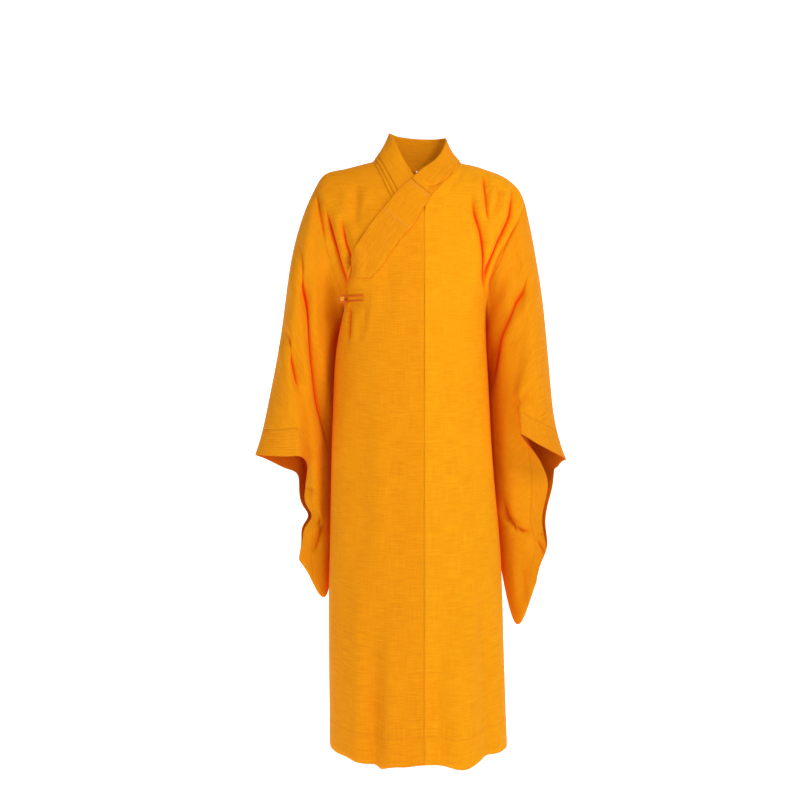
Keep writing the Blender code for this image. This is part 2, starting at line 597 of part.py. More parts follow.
def overlap_point(u, v):
    """The crossing panel: u from the centre front to its free edge, v as on the body panels."""
    if v > 1.0:
        w = v - 1.0
        x, z = patch_point(
            lambda share: np.array(overlap_point(share, 1.0))[[0, 2]],
            lambda share: along(OVERLAP_TOP, share),
            lambda share: along(OVERLAP_FRONT, share),
            lambda share: along(OVERLAP_DIAGONAL, share),
            u,
            w,
        )
        return np.array((x, surface_y(x, z, FRONT), z))
    level = HEM_SIDE_Z + (UNDERARM_Z - HEM_SIDE_Z) * v
    half, depth = body_size(level, FRONT, 1, 0)
    start = section_angle(CENTRE_FRONT_X, half)
    keys = [row[0] for row in OVERLAP_SIDE_Y]
    side_y = flow(keys, [row[1] for row in OVERLAP_SIDE_Y], level)
    end = math.pi - math.asin((side_y / depth) ** (ROUNDNESS / 2.0))
    angle = start + (end - start) * u
    z = hem_height(angle) + (UNDERARM_Z - hem_height(angle)) * v
    return section_point(angle, z, FRONT, 0)


def add_overlap(collection):
    sheet = bmesh.new()
    add_sheet(sheet, lambda u, v: folded(overlap_point(u, v), FRONT, SKIRT_FOLDS), ACROSS + 1, UP_SKIRT, 0)
    add_sheet(sheet, lambda u, v: folded(overlap_point(u, 1.0 + v), FRONT, SKIRT_FOLDS), ACROSS + 1, UP_OVERLAP, 0)
    bmesh.ops.remove_doubles(sheet, verts=sheet.verts, dist=0.00002)
    face_outwards(sheet, Vector((-0.08, -0.11, -0.6)))
    mark_normals(sheet)
    draw_in_edges(sheet, SEAM_GAP)
    make_wall(sheet, body_thickness)
    add_object("front_overlap", sheet, collection)


def collar_point(share, part):
    """share runs along the band, part goes from 0 at its top edge to 1 at its base."""
    keys = np.arange(len(COLLAR_STATIONS), dtype=float)
    place = share * (len(COLLAR_STATIONS) - 1)
    lie = flow(keys, [s.lie for s in COLLAR_STATIONS], place)
    top = flow(keys, [s.top for s in COLLAR_STATIONS], place)
    bases = []
    for index, station in enumerate(COLLAR_STATIONS):
        x, z = station.base
        under = 1 if index < 7 else 0
        bases.append((x, surface_y(x, z, station.face, under), z))
    base = flow(keys, bases, place)
    base[2] += COLLAR_LIFT * (1.0 - lie)
    point = top + (base - top) * part
    if lie > 0.0:
        under = 1 if place < 9 else 0
        lying = surface_y(point[0], point[2], FRONT, under)
        point[1] += (lying - point[1]) * lie
    return point


def collar_step(share):
    """Each layer's step beyond the one above it, as a part of the width."""
    wide = COLLAR_STEP / COLLAR_WIDTH
    narrow = COLLAR_LEFT_STEP / COLLAR_WIDTH
    return wide + (narrow - wide) * ease((share - STEP_NARROWS) / STEP_NARROWING)


def add_collar(collection):
    """Three stepped layers that share one top edge, each a step narrower than the one below."""
    lengths = COLLAR_LENGTHS * (len(COLLAR_STATIONS) - 1)
    rows = [(share, 0) for share in (0.0, 1 / 3, 2 / 3, 1.0)] + [(1.0, 1), (1.0, 2)]
    band = bmesh.new()
    for strip, (upper, lower) in enumerate(zip(rows, rows[1:])):
        def place(u, v, upper=upper, lower=lower):
            step = collar_step(u)
            start, end = (share * (1.0 - 2.0 * step) + steps * step for share, steps in (upper, lower))
            return collar_point(u, start + (end - start) * v)

        add_sheet(band, place, lengths, 1, strip)
    bmesh.ops.remove_doubles(band, verts=band.verts, dist=0.00002)
    face_outwards(band, Vector((0.0, 0.050, 0.050)))
    mark_normals(band)
    for layer, name in enumerate(("collar_under", "collar_middle", "collar_top")):
        sheet = band.copy()
        beyond = [f for f in sheet.faces if f.material_index > len(rows) - 2 - layer]
        bmesh.ops.delete(sheet, geom=beyond, context="FACES")
        draw_in_edges(sheet, SEAM_GAP)
        lift = CLOTH / 2 + SEAM_GAP + COLLAR_CLOTH / 2 + (COLLAR_CLOTH + SEAM_GAP) * layer
        make_wall(sheet, lambda p: COLLAR_CLOTH, lift)
        add_object(name, sheet, collection)
    band.free()


def lapel_point(share, across):
    x, z = along(LAPEL_OUTER, share) * (1.0 - across) + along(LAPEL_INNER, share) * across
    return np.array((x, surface_y(x, z, FRONT), z))


def add_lapel(collection):
    sheet = bmesh.new()
    add_sheet(sheet, lambda u, v: lapel_point(u, v), LAPEL_LENGTHS, LAPEL_ROWS, 0)
    face_outwards(sheet, Vector((-0.05, -0.10, -0.12)))
    mark_normals(sheet)
    draw_in_edges(sheet, SEAM_GAP)
    make_wall(sheet, lambda p: LAPEL_CLOTH, CLOTH / 2 + SEAM_GAP + LAPEL_CLOTH / 2)
    add_object("lapel_band", sheet, collection)


def add_knot(collection):
    """The knotted button: a lumpy ball on a short stem that runs back under the overlap's edge."""
    ball = bmesh.new()
    bmesh.ops.create_uvsphere(ball, u_segments=12, v_segments=9, radius=KNOT_RADIUS)
    cap_height = KNOT_RADIUS * math.cos(math.radians(25))
    cap = [f for f in ball.faces if all(v.co.z > cap_height for v in f.verts)]
    stem = (STEM_END - KNOT_CENTRE).length - KNOT_RADIUS
    for vert in ball.verts:
        way = vert.co.normalized()
        lump = math.cos(3.0 * math.atan2(way.y, way.x)) * (1.0 - way.z * way.z)
        vert.co *= 1.0 + 0.06 * lump
    grown = bmesh.ops.extrude_face_region(ball, geom=cap)
    bmesh.ops.delete(ball, geom=[f for f in cap if f.is_valid], context="FACES_ONLY")
    tip = [v for v in grown["geom"] if isinstance(v, bmesh.types.BMVert)]
    bmesh.ops.translate(ball, verts=tip, vec=(0.0, 0.0, stem))
    turn = (STEM_END - KNOT_CENTRE).to_track_quat("Z", "Y").to_matrix()
    bmesh.ops.rotate(ball, verts=ball.verts, matrix=turn)
    bmesh.ops.translate(ball, verts=ball.verts, vec=KNOT_CENTRE)
    bmesh.ops.recalc_face_normals(ball, faces=ball.faces)
    add_object("knot_button", ball, collection)


def loop_tail(mouth_x, z):
    """One of the loop's two ends, lying on the crossing panel and running to the button."""
    above = CLOTH / 2 + SEAM_GAP + LOOP_CORD_RADIUS * 1.1
    tail = []
    for step in range(LOOP_TAIL_STEPS):
        x = LOOP_TAIL_X + (mouth_x - LOOP_TAIL_X) * step / LOOP_TAIL_STEPS
        slope = (surface_y(x + 0.001, z, FRONT) - surface_y(x, z, FRONT)) / 0.001
        tail.append(Vector((x, surface_y(x, z, FRONT) - above * math.hypot(1.0, slope), z)))
    return tail


def loop_path():
    """Along the crossing panel, round the button and back."""
    radius = KNOT_RADIUS * 1.06 + SEAM_GAP + LOOP_CORD_RADIUS
    rise = radius * math.sin(LOOP_MOUTH_ANGLE)
    mouth_x = KNOT_CENTRE.x + radius * math.cos(LOOP_MOUTH_ANGLE)
    bend = []
    for step in range(LOOP_ROUND_STEPS + 1):
        angle = LOOP_MOUTH_ANGLE + (2 * math.pi - 2 * LOOP_MOUTH_ANGLE) * step / LOOP_ROUND_STEPS
        bend.append(KNOT_CENTRE + radius * Vector((math.cos(angle), 0.0, math.sin(angle))))
    upper = loop_tail(mouth_x, KNOT_CENTRE.z + rise)
    lower = loop_tail(mouth_x, KNOT_CENTRE.z - rise)
    return upper + bend + lower[::-1]


def add_loop(collection):
    curve = bpy.data.curves.new("button_loop", "CURVE")
    curve.dimensions = "3D"
    curve.bevel_depth = LOOP_CORD_RADIUS
    curve.bevel_resolution = 2
    curve.use_fill_caps = True
    points = loop_path()
    spline = curve.splines.new("POLY")
    spline.points.add(len(points) - 1)
    for spot, place in zip(spline.points, points):
        spot.co = (*place, 1.0)
    curve.materials.append(saffron_cloth())
    collection.objects.link(bpy.data.objects.new("button_loop", curve))


def main():
    for item in list(bpy.data.objects):
        bpy.data.objects.remove(item)
    collection = bpy.data.collections.new("Buddhist monk robe")
    bpy.context.scene.collection.children.link(collection)
    add_body_and_sleeves(collection)
    add_overlap(collection)
    add_collar(collection)
    add_lapel(collection)
    add_knot(collection)
    add_loop(collection)


main()
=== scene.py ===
"""The looks of a saffron Buddhist monk's robe with wide sleeves, worn and closed.

Each cloth piece stands for its solid and is a thin wall on the same form: the same body sections,
panel edges and sleeve sections, on a finer mesh with the folds and creases of the worn robe.
Metres, +Z up. The front faces -Y, so the wearer's left is +X.
"""

import math
from collections import namedtuple

import bmesh
import bpy
import numpy as np
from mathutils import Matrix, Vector, noise

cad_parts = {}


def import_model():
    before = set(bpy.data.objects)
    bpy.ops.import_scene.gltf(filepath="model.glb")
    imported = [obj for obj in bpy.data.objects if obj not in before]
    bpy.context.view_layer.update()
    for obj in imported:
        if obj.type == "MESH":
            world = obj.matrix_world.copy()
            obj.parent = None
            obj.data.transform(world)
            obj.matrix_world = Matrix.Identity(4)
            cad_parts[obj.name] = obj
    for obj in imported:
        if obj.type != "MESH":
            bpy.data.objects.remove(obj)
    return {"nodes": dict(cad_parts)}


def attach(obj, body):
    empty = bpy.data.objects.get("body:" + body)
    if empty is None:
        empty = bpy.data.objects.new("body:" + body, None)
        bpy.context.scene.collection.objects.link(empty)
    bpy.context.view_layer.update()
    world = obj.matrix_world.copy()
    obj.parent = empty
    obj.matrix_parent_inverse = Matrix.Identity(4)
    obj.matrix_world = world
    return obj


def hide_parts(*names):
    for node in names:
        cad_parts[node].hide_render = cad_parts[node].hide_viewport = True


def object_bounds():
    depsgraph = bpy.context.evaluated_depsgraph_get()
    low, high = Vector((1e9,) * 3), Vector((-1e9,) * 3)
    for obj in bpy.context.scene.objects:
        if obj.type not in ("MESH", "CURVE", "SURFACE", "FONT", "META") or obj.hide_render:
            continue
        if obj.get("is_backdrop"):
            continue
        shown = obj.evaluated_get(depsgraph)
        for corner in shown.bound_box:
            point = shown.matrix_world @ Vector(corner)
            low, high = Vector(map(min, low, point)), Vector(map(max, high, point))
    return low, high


# The photograph's frame: the camera looks straight along +Y from this place, and sees this width
# at the side seams. That is 2.2 mm to a pixel of the 800 pixel frame.
CAMERA_PLACE = Vector((-0.0374, -3.0, -0.5016))
FRAME_WIDTH = 1.76
SENSOR_WIDTH = 36.0

# Cloth thicknesses and the small gaps between sewn pieces
CLOTH = 0.0018
HEM_CLOTH = 0.0026
LAPEL_CLOTH = 0.0027
COLLAR_CLOTH = 0.0008
SEAM_GAP = 0.0003
DRAWN_GAP = 0.0001

# Main heights and lengths
UNDERARM_Z = -0.290
HEM_SIDE_Z = -1.256
HEM_CENTRE_DROP = 0.021
HEM_DEPTH = 0.062
CENTRE_FRONT_X = 0.014
COLLAR_WIDTH = 0.065
COLLAR_STEP = 0.008

# Half the distance between the two layers at a sleeve's bottom seam
LOW_FOLD_RADIUS = 0.008

# Least distance from the body to a sleeve that hangs beside it
SLEEVE_CLEARANCE = 0.006

# The right front lies under the overlap: this much nearer the body in front and at the side
UNDER_FRONT = 0.012
UNDER_SIDE = 0.005

# Roundness of the body's sections: 2 is an ellipse, more is squarer
ROUNDNESS = 2.3

# Mesh spacing
ACROSS = 10
UP_SKIRT = 15
UP_OVERLAP = 12
SPAN_STEPS = 3
RING_STEPS = 2
SOFTEN_PASSES = 3

# Corners of neighbouring grids that are this near are one point
SAME_POINT = 0.00002

# The corner of the back neck this near the centre-back seam is put on it
NECK_SNAP = 0.0035

FRONT = -1.0
BACK = 1.0



def metres(points):
    """Points given in millimetres."""
    return [tuple(part / 1000.0 for part in point) for point in points]


# The body's sections, in millimetres
Section = namedtuple("Section", "z left right front back")
BODY_SECTIONS = [Section(*row) for row in metres([
    (-1280, 198, 190, 128, 128),
    (-1150, 194, 191, 126, 127),
    (-1000, 190, 194, 124, 126),
    (-900, 187, 193, 122, 125),
    (-800, 180, 189, 120, 123),
    (-700, 170, 187, 118, 119),
    (-620, 163, 185, 117, 115),
    (-500, 157, 182, 116, 110),
    (-370, 152, 177, 117, 107),
    (-290, 150, 161, 118, 107),
    (-250, 178, 184, 118, 107),
    (-205, 212, 214, 118, 107),
    (-143, 250, 246, 118, 106),
    (-100, 270, 266, 118, 105),
    (-50, 285, 285, 118, 104),
    (60, 300, 300, 118, 104),
])]

# Height of the shoulder line above each distance from the middle, in millimetres
Shoulder = namedtuple("Shoulder", "x left right")
SHOULDER_LINE = [Shoulder(*row) for row in metres([
    (0, 50, 50),
    (50, 40, 41),
    (95, 18, 22),
    (125, 12, 14),
    (154, 1, 7),
    (185, -10, 1),
    (205, -21, -7),
    (218, -34, -20),
    (236, -53, -52),
    (300, -150, -170),
])]

# Edges of the upper body panels, as (x, z) in millimetres from the underarm level up to the shoulder line
ARMHOLE_LEFT = metres([(150, -290), (158, -256), (173, -205), (204, -143), (226, -97), (236, -53)])
ARMHOLE_RIGHT = metres([
    (-156, -290), (-167, -255), (-184, -205), (-204, -130), (-216, -75), (-218, -20)
])
NECK_LEFT = metres([(14, -290), (14, -190), (14, -88), (45, -44), (62, -16), (95, 18)])
NECK_RIGHT = metres([(50, -290), (20, -190), (-24, -110), (-48, -62), (-69, -18), (-95, 22)])
NECK_BACK_LEFT = metres([(0, -290), (0, -150), (0, 11), (50, 12), (78, 16), (95, 18)])
NECK_BACK_RIGHT = metres([(0, -290), (0, -150), (0, 11), (-50, 12), (-78, 18), (-95, 22)])
SHOULDER_LEFT = metres([(95, 18), (125, 12), (154, 1), (185, -10), (218, -34), (236, -53)])
SHOULDER_RIGHT = metres([(-95, 22), (-125, 14), (-154, 7), (-185, 1), (-205, -7), (-218, -20)])

# Edges of the crossing panel above the underarm level
OVERLAP_FRONT = metres([(14, -290), (14, -220), (14, -150), (14, -88)])
OVERLAP_DIAGONAL = metres([
    (-150, -290), (-149, -238), (-138, -198), (-117, -160), (-92, -123), (-63, -86), (-36, -52),
    (-16, -34)
])
OVERLAP_TOP = metres([(14, -88), (-16, -34)])
# How far in front of the side line the crossing panel's free edge runs, by height
OVERLAP_SIDE_Y = metres([(-1300, 4), (-600, 6), (-450, 12), (-290, 46)])

Panel = namedtuple("Panel", "name face side start_x under neck armhole shoulder")
BODY_PANELS = [
    Panel("front_left", FRONT, 1, CENTRE_FRONT_X, 0, NECK_LEFT, ARMHOLE_LEFT, SHOULDER_LEFT),
    Panel("back_left", BACK, 1, 0.0, 0, NECK_BACK_LEFT, ARMHOLE_LEFT, SHOULDER_LEFT),
    Panel("front_right", FRONT, -1, 0.050, 1, NECK_RIGHT, ARMHOLE_RIGHT, SHOULDER_RIGHT),
    Panel("back_right", BACK, -1, 0.0, 1, NECK_BACK_RIGHT, ARMHOLE_RIGHT, SHOULDER_RIGHT),
]

# One row for each section of a sleeve after the armhole, down to the cuff edge. top is the fold
# over the arm, flap the front cloth's inner turn, tuck where it goes behind, low the bottom seam
# and heel the middle of the back layer. All (x, y, z) in millimetres.
Ring = namedtuple("Ring", "top flap tuck low heel")


def rings(rows):
    return [Ring(*metres(row)) for row in rows]


SLEEVE_RIGHT = rings([
    ((-257, 0, -101), (-227, -60, -189), (-210, -60, -232), (-163, 50, -350), (-230, 58, -255)),
    ((-280, 4, -193), (-240, -62, -286), (-221, -60, -340), (-179, 45, -502), (-246, 62, -367)),
    ((-291, 4, -275), (-255, -64, -362), (-234, -56, -415), (-182, 50, -616), (-255, 62, -468)),
    ((-299, 0, -352), (-265, -68, -428), (-234, -52, -475), (-185, 50, -740), (-257, 60, -546)),
    ((-314, -8, -436), (-259, -72, -476), (-228, -46, -530), (-191, 47, -854), (-257, 55, -600)),
    ((-326, -18, -506), (-252, -74, -512), (-226, -36, -580), (-202, 38, -949), (-254, 46, -631)),
    ((-338, -26, -567), (-248, -74, -560), (-229, -24, -625), (-229, 22, -903), (-253, 36, -644)),
    ((-353, -32, -621), (-246, -70, -624), (-239, -12, -655), (-255, 10, -845), (-259, 24, -672)),
])
SLEEVE_LEFT = rings([
    ((257, 0, -147), (211, -60, -204), (187, -58, -253), (147, 50, -356), (214, 58, -255)),
    ((275, 4, -246), (223, -62, -308), (202, -58, -361), (154, 45, -513), (223, 62, -378)),
    ((282, 4, -317), (230, -64, -372), (203, -52, -426), (159, 50, -623), (230, 62, -479)),
    ((288, 0, -381), (229, -68, -420), (199, -44, -480), (170, 50, -740), (234, 60, -569)),
    ((293, -8, -447), (220, -72, -454), (200, -34, -528), (191, 45, -876), (243, 55, -618)),
    ((297, -18, -513), (212, -75, -487), (218, -26, -567), (219, 34, -1017), (255, 46, -636)),
    ((305, -26, -569), (210, -77, -521), (249, -18, -611), (245, 20, -955), (276, 36, -642)),
    ((323, -32, -630), (218, -77, -575), (280, -12, -657), (264, 10, -894), (299, 24, -666)),
])
CUFF_RING = 7
LAST_RING = 8

# The largest folds of the skirt, at (x, z) in metres. A fold sinks by its depth, and a negative
# depth is a raised fold.
Fold = namedtuple("Fold", "face depth width path")
SKIRT_FOLDS = [
    Fold(FRONT, -0.012, 0.030, [(-0.058, -0.900), (-0.060, -1.100), (-0.062, -1.300)]),
    Fold(FRONT, 0.015, 0.018, [(-0.088, -0.980), (-0.088, -1.120), (-0.088, -1.300)]),
    Fold(FRONT, 0.013, 0.022, [(0.034, -0.950), (0.040, -1.100), (0.050, -1.300)]),
    Fold(FRONT, -0.012, 0.030, [(0.088, -0.900), (0.094, -1.100), (0.100, -1.300)]),
    Fold(FRONT, 0.011, 0.018, [(0.140, -0.850), (0.150, -1.100), (0.158, -1.300)]),
    Fold(FRONT, -0.007, 0.022, [(-0.120, -0.800), (-0.124, -1.100), (-0.128, -1.300)]),
    Fold(BACK, 0.012, 0.022, [(0.060, -0.560), (0.066, -0.900), (0.070, -1.300)]),
    Fold(BACK, 0.011, 0.022, [(-0.072, -0.640), (-0.078, -0.950), (-0.084, -1.300)]),
    Fold(BACK, -0.010, 0.028, [(0.000, -0.600), (-0.004, -0.950), (-0.008, -1.300)]),
    Fold(BACK, -0.010, 0.026, [(0.122, -0.620), (0.128, -0.950), (0.134, -1.300)]),
    Fold(BACK, -0.009, 0.026, [(-0.130, -0.560), (-0.136, -0.950), (-0.142, -1.300)]),
]

# How far the hem hangs below its even line in front and behind: each dip's middle, drop and width
Dip = namedtuple("Dip", "face x drop width")
HEM_DIPS = [
    Dip(FRONT, -0.077, 0.006, 0.011),
    Dip(FRONT, -0.045, -0.002, 0.014),
    Dip(FRONT, 0.012, -0.005, 0.030),
    Dip(FRONT, 0.094, 0.008, 0.026),
    Dip(FRONT, 0.150, -0.005, 0.022),
    Dip(FRONT, -0.150, -0.004, 0.020),
    Dip(BACK, -0.090, 0.006, 0.026),
    Dip(BACK, -0.020, -0.005, 0.030),
    Dip(BACK, 0.070, 0.007, 0.024),
    Dip(BACK, 0.140, -0.004, 0.022),
]
DIP_REACH = 0.16

# Where a hanging sleeve's free side stands out or in: +1 is the wearer's left. start is the distance
# from the middle at which it begins
Shift = namedtuple("Shift", "side z height start out")
SLEEVE_SHIFTS = [
    Shift(-1, -0.700, 0.030, 0.205, 0.004),
    Shift(-1, -0.757, 0.020, 0.205, -0.016),
    Shift(-1, -0.850, 0.022, 0.205, 0.005),
    Shift(1, -0.690, 0.040, 0.230, 0.006),
    Shift(1, -0.826, 0.040, 0.215, 0.014),
]

# Width over which a sleeve's free side takes up its shift
SHIFT_REACH = 0.035

# The colour takes painted shade where a sleeve hangs beside the body, from a little below the underarm, and
# inside the sleeves. On the body the painted shade lies round the side line, and ends over SIDE_FADE.
SIDE_START = 0.05
SIDE_FADE = 0.25
SIDE_LINE_Y = -0.02
SIDE_WIDTH = 0.045
BODY_SHARE = 0.6
SIDE_REACH = 0.022
SIDE_SHADE_STRENGTH = 0.72
SIDE_END = -1.02
INSIDE_SHADE = 0.50

# Creases of the yoke and the sleeves, in millimetres. Those in front lie where they show from the
# front. depth and width are of the soft trough, core is a narrow line in its middle, and left and
# right are the raised bands beside it, left being the side of +X on the way down.
Crease = namedtuple("Crease", "cloth face depth width core left right path")
CREASES = [Crease(*row) for row in (
    # Wearer's right shoulder, down to the button
    ("both", FRONT, 6, 9, 3, 2, 3, [(-225, -31), (-218, -75), (-209, -121), (-202, -160)]),
    ("both", FRONT, 11, 10, 7.5, 4.5, 3, [(-204, -66), (-193, -114), (-178, -174), (-165, -228),
        (-157, -270)]),
    ("body", FRONT, 9.5, 11, 4.5, 4.5, 4.5, [(-168, -84), (-159, -150), (-148, -189), (-146, -216),
        (-154, -238), (-162, -266)]),
    ("body", FRONT, 3, 6, 5, 1, 1, [(-150, -285), (-148, -306), (-149, -345), (-152, -380)]),
    ("body", FRONT, 7, 12, 0, 3, 3, [(-140, -24), (-135, -64), (-137, -98), (-145, -128)]),
    ("body", FRONT, 2.5, 9, 0, 1.5, 0, [(-100, -60), (-112, -84), (-121, -112)]),
    # Wearer's right sleeve
    ("sleeve", FRONT, 11, 10, 6, 3, 4.5, [(-262, -118), (-253, -218), (-243, -290), (-234, -361),
        (-224, -438), (-216, -504), (-207, -550), (-198, -596), (-194, -642)]),
    ("sleeve", FRONT, 8, 10, 4.5, 3, 3, [(-291, -336), (-278, -392), (-267, -438), (-256, -494)]),
    ("sleeve", FRONT, 2.5, 16, 0, 0, 1.5, [(-232, -150), (-226, -230), (-214, -320), (-204, -400)]),
    ("sleeve", FRONT, 5.5, 9, 3, 1.5, 1.5, [(-246, -690), (-231, -700), (-214, -703)]),
    ("sleeve", FRONT, 5.5, 8, 3, 1.5, 1.5, [(-232, -758), (-218, -768), (-206, -780)]),
    ("sleeve", FRONT, 7, 11, 3, 3, 3, [(-200, -770), (-214, -812), (-229, -842)]),
    # Wearer's left shoulder
    ("both", FRONT, 9.5, 11, 6, 3, 3, [(112, -28), (119, -42), (128, -90), (141, -130), (147, -174),
        (150, -236), (149, -290)]),
    ("body", FRONT, 7, 9, 4.5, 1.5, 3, [(133, 4), (146, -8), (151, -44), (154, -79), (160, -122)]),
    ("body", FRONT, 5.5, 8, 1.5, 1.5, 3, [(168, -24), (180, -34), (182, -50), (176, -75), (167, -106)]),
    ("both", FRONT, 11, 10, 6, 4.5, 3, [(196, -16), (206, -29), (211, -46), (209, -86), (198, -119),
        (176, -167), (158, -222), (151, -268)]),
    ("both", FRONT, 4, 5, 3, 1.5, 1.5, [(235, -62), (227, -97), (205, -143), (176, -203), (162, -262),
        (156, -318)]),
    ("body", FRONT, 2.5, 10, 0, 0, 1.5, [(84, 0), (76, -22), (66, -46)]),
    ("body", FRONT, 4, 4, 0, 0, 0, [(95, 17), (62, -15), (42, -29), (20, -33), (2, -34)]),
    ("body", FRONT, 2.5, 6, 0, 0, 0, [(98, 8), (92, -12), (82, -22)]),
    # Wearer's left sleeve
    ("sleeve", FRONT, 11, 12, 6, 4.5, 3, [(259, -198), (238, -249), (210, -301), (194, -328),
        (177, -370), (167, -427), (161, -500)]),
    ("sleeve", FRONT, 5.5, 12, 0, 1.5, 1.5, [(222, -336), (208, -372), (198, -410)]),
    ("sleeve", FRONT, 5.5, 9, 1.5, 1.5, 1.5, [(214, -519), (232, -502), (253, -482)]),
    ("sleeve", FRONT, 7, 8, 4.5, 3, 1.5, [(188, -716), (196, -754), (207, -770), (224, -788),
        (255, -791)]),
    ("sleeve", FRONT, 5.5, 9, 3, 1.5, 1.5, [(250, -792), (270, -800), (290, -814)]),
    ("sleeve", FRONT, 7, 10, 3, 1.5, 3, [(246, -799), (262, -832), (276, -862)]),
    ("sleeve", FRONT, 4, 9, 0, 1.5, 1.5, [(228, -849), (232, -906), (234, -964)]),
    # Chest, waist and skirt in front
    ("body", FRONT, 2.5, 7, 0, 1.5, 1.5, [(-125, -306), (-126, -340), (-125, -378)]),
    ("body", FRONT, 2.5, 6, 0, 1.5, 1.5, [(-113, -285), (-114, -320), (-114, -362)]),
    ("body", FRONT, 2.5, 18, 0, 1.5, 1.5, [(-60, -180), (-66, -260), (-70, -350)]),
    ("body", FRONT, 4, 26, 0, 1.5, 3, [(60, -120), (66, -260), (62, -420), (56, -560)]),
    ("body", FRONT, 4, 24, 0, 3, 1.5, [(118, -380), (122, -520), (128, -700), (134, -900)]),
    ("body", FRONT, 4, 26, 0, 1.5, 3, [(-124, -440), (-122, -600), (-126, -800), (-128, -980)]),
    ("body", FRONT, 2.5, 22, 0, 1.5, 1.5, [(-52, -520), (-48, -700), (-44, -880)]),
    # Back of the shoulders and the yoke
    ("both", BACK, 11, 11, 6, 3, 4.5, [(196, -52), (188, -100), (180, -140), (166, -205), (156, -280)]),
    ("both", BACK, 11, 11, 6, 4.5, 3, [(-200, -48), (-192, -96), (-182, -150), (-170, -215),
        (-160, -285)]),
    ("body", BACK, 7, 12, 3, 3, 3, [(146, -14), (152, -60), (148, -118), (140, -190)]),
    ("body", BACK, 8, 12, 3, 3, 3, [(-152, -22), (-156, -80), (-148, -138), (-138, -214)]),
    ("body", BACK, 4, 16, 0, 1.5, 1.5, [(92, -70), (96, -160), (84, -260), (78, -380)]),
    ("body", BACK, 4, 18, 0, 1.5, 1.5, [(-84, -90), (-92, -190), (-86, -320), (-80, -430)]),
    ("body", BACK, 4, 14, 0, 1.5, 1.5, [(34, -30), (40, -80), (36, -150)]),
    ("body", BACK, 4, 14, 0, 1.5, 1.5, [(-40, -26), (-46, -84), (-38, -140)]),
    ("body", BACK, 5.5, 24, 0, 3, 3, [(118, -330), (112, -460), (108, -640)]),
    ("body", BACK, 5.5, 24, 0, 3, 3, [(-122, -320), (-116, -450), (-112, -600)]),
    # Back of the sleeves
    ("sleeve", BACK, 9.5, 12, 4.5, 3, 3, [(246, -150), (238, -230), (226, -330), (216, -430),
        (208, -560)]),
    ("sleeve", BACK, 9.5, 12, 4.5, 3, 3, [(-262, -140), (-252, -240), (-244, -340), (-236, -440),
        (-228, -580)]),
    ("sleeve", BACK, 7, 12, 3, 3, 1.5, [(270, -300), (262, -380), (250, -470), (244, -540)]),
    ("sleeve", BACK, 7, 12, 3, 1.5, 3, [(-290, -290), (-284, -370), (-274, -450), (-266, -520)]),
    ("sleeve", BACK, 5.5, 14, 0, 1.5, 1.5, [(190, -380), (184, -480), (186, -620)]),
    ("sleeve", BACK, 5.5, 14, 0, 1.5, 1.5, [(-206, -400), (-200, -520), (-204, -660)]),
    ("sleeve", BACK, 5.5, 12, 3, 1.5, 1.5, [(232, -660), (228, -740), (224, -860)]),
    ("sleeve", BACK, 5.5, 12, 3, 1.5, 1.5, [(-222, -650), (-216, -740), (-212, -840)]),
)]
CORE_WIDTH = 3.0
CREASE_STEP = 10.0

# A crease reaches this many widths, fades over this share of its length or this many widths at
# its ends, and has its raised bands this many widths from its middle and this wide
CREASE_REACH = 4.5
TAPER = 0.30
LEAST_TAPER = 2.2
BAND_AWAY = 2.0
BAND_WIDTH = 1.2

# How much the trough and its core deepen the colour with painted shade
TROUGH_SHADE = 0.22
CORE_SHADE = 1.9

# Length over which a fold of the skirt begins
FOLD_FADE = 0.18

# The small unevenness of hanging cloth: height, waves across and waves down, to the metre
Wave = namedtuple("Wave", "height across down start")
WAVES = [Wave(0.0022, 9.0, 2.6, 4.0), Wave(0.0007, 34.0, 7.0, 9.0)]

# Stations of the collar band, from its end under the lapel, round the back of the neck, to the
# cross line where the lapel begins. lie is 1 where the band lies flat on the front.
Station = namedtuple("Station", "face base top lie")
COLLAR_STATIONS = [
    Station(FRONT, (-0.030, -0.120), (0.026, -0.065, -0.090), 1.0),
    Station(FRONT, (-0.043, -0.093), (0.014, -0.065, -0.064), 1.0),
    Station(FRONT, (-0.056, -0.066), (0.002, -0.065, -0.037), 1.0),
    Station(FRONT, (-0.067, -0.043), (-0.009, -0.062, -0.016), 1.0),
    Station(FRONT, (-0.077, -0.020), (-0.022, -0.056, 0.006), 0.7),
    Station(FRONT, (-0.087, 0.002), (-0.036, -0.046, 0.034), 0.2),
    Station(FRONT, (-0.097, 0.020), (-0.050, -0.026, 0.068), 0.0),
    Station(BACK, (-0.084, 0.018), (-0.058, 0.006, 0.086), 0.0),
    Station(BACK, (-0.050, 0.012), (-0.042, 0.036, 0.085), 0.0),
    Station(BACK, (0.000, 0.011), (0.001, 0.048, 0.082), 0.0),
    Station(BACK, (0.050, 0.012), (0.044, 0.036, 0.079), 0.0),
    Station(BACK, (0.084, 0.016), (0.061, 0.006, 0.074), 0.0),
    Station(FRONT, (0.096, 0.016), (0.057, -0.020, 0.052), 0.0),
    Station(FRONT, (0.083, 0.001), (0.046, -0.040, 0.028), 0.0),
    Station(FRONT, (0.068, -0.017), (0.030, -0.052, 0.011), 0.2),
    Station(FRONT, (0.055, -0.034), (0.012, -0.060, -0.002), 0.6),
    Station(FRONT, (0.042, -0.050), (-0.001, -0.064, -0.014), 1.0),
    Station(FRONT, (0.030, -0.064), (-0.013, -0.066, -0.028), 1.0),
]
# The layers' steps close up between these shares of the band, on the wearer's left shoulder
COLLAR_LEFT_STEP = 0.0025
STEP_NARROWS = 0.52
STEP_NARROWING = 0.14
COLLAR_LENGTHS = 3
COLLAR_LIFT = -0.0006

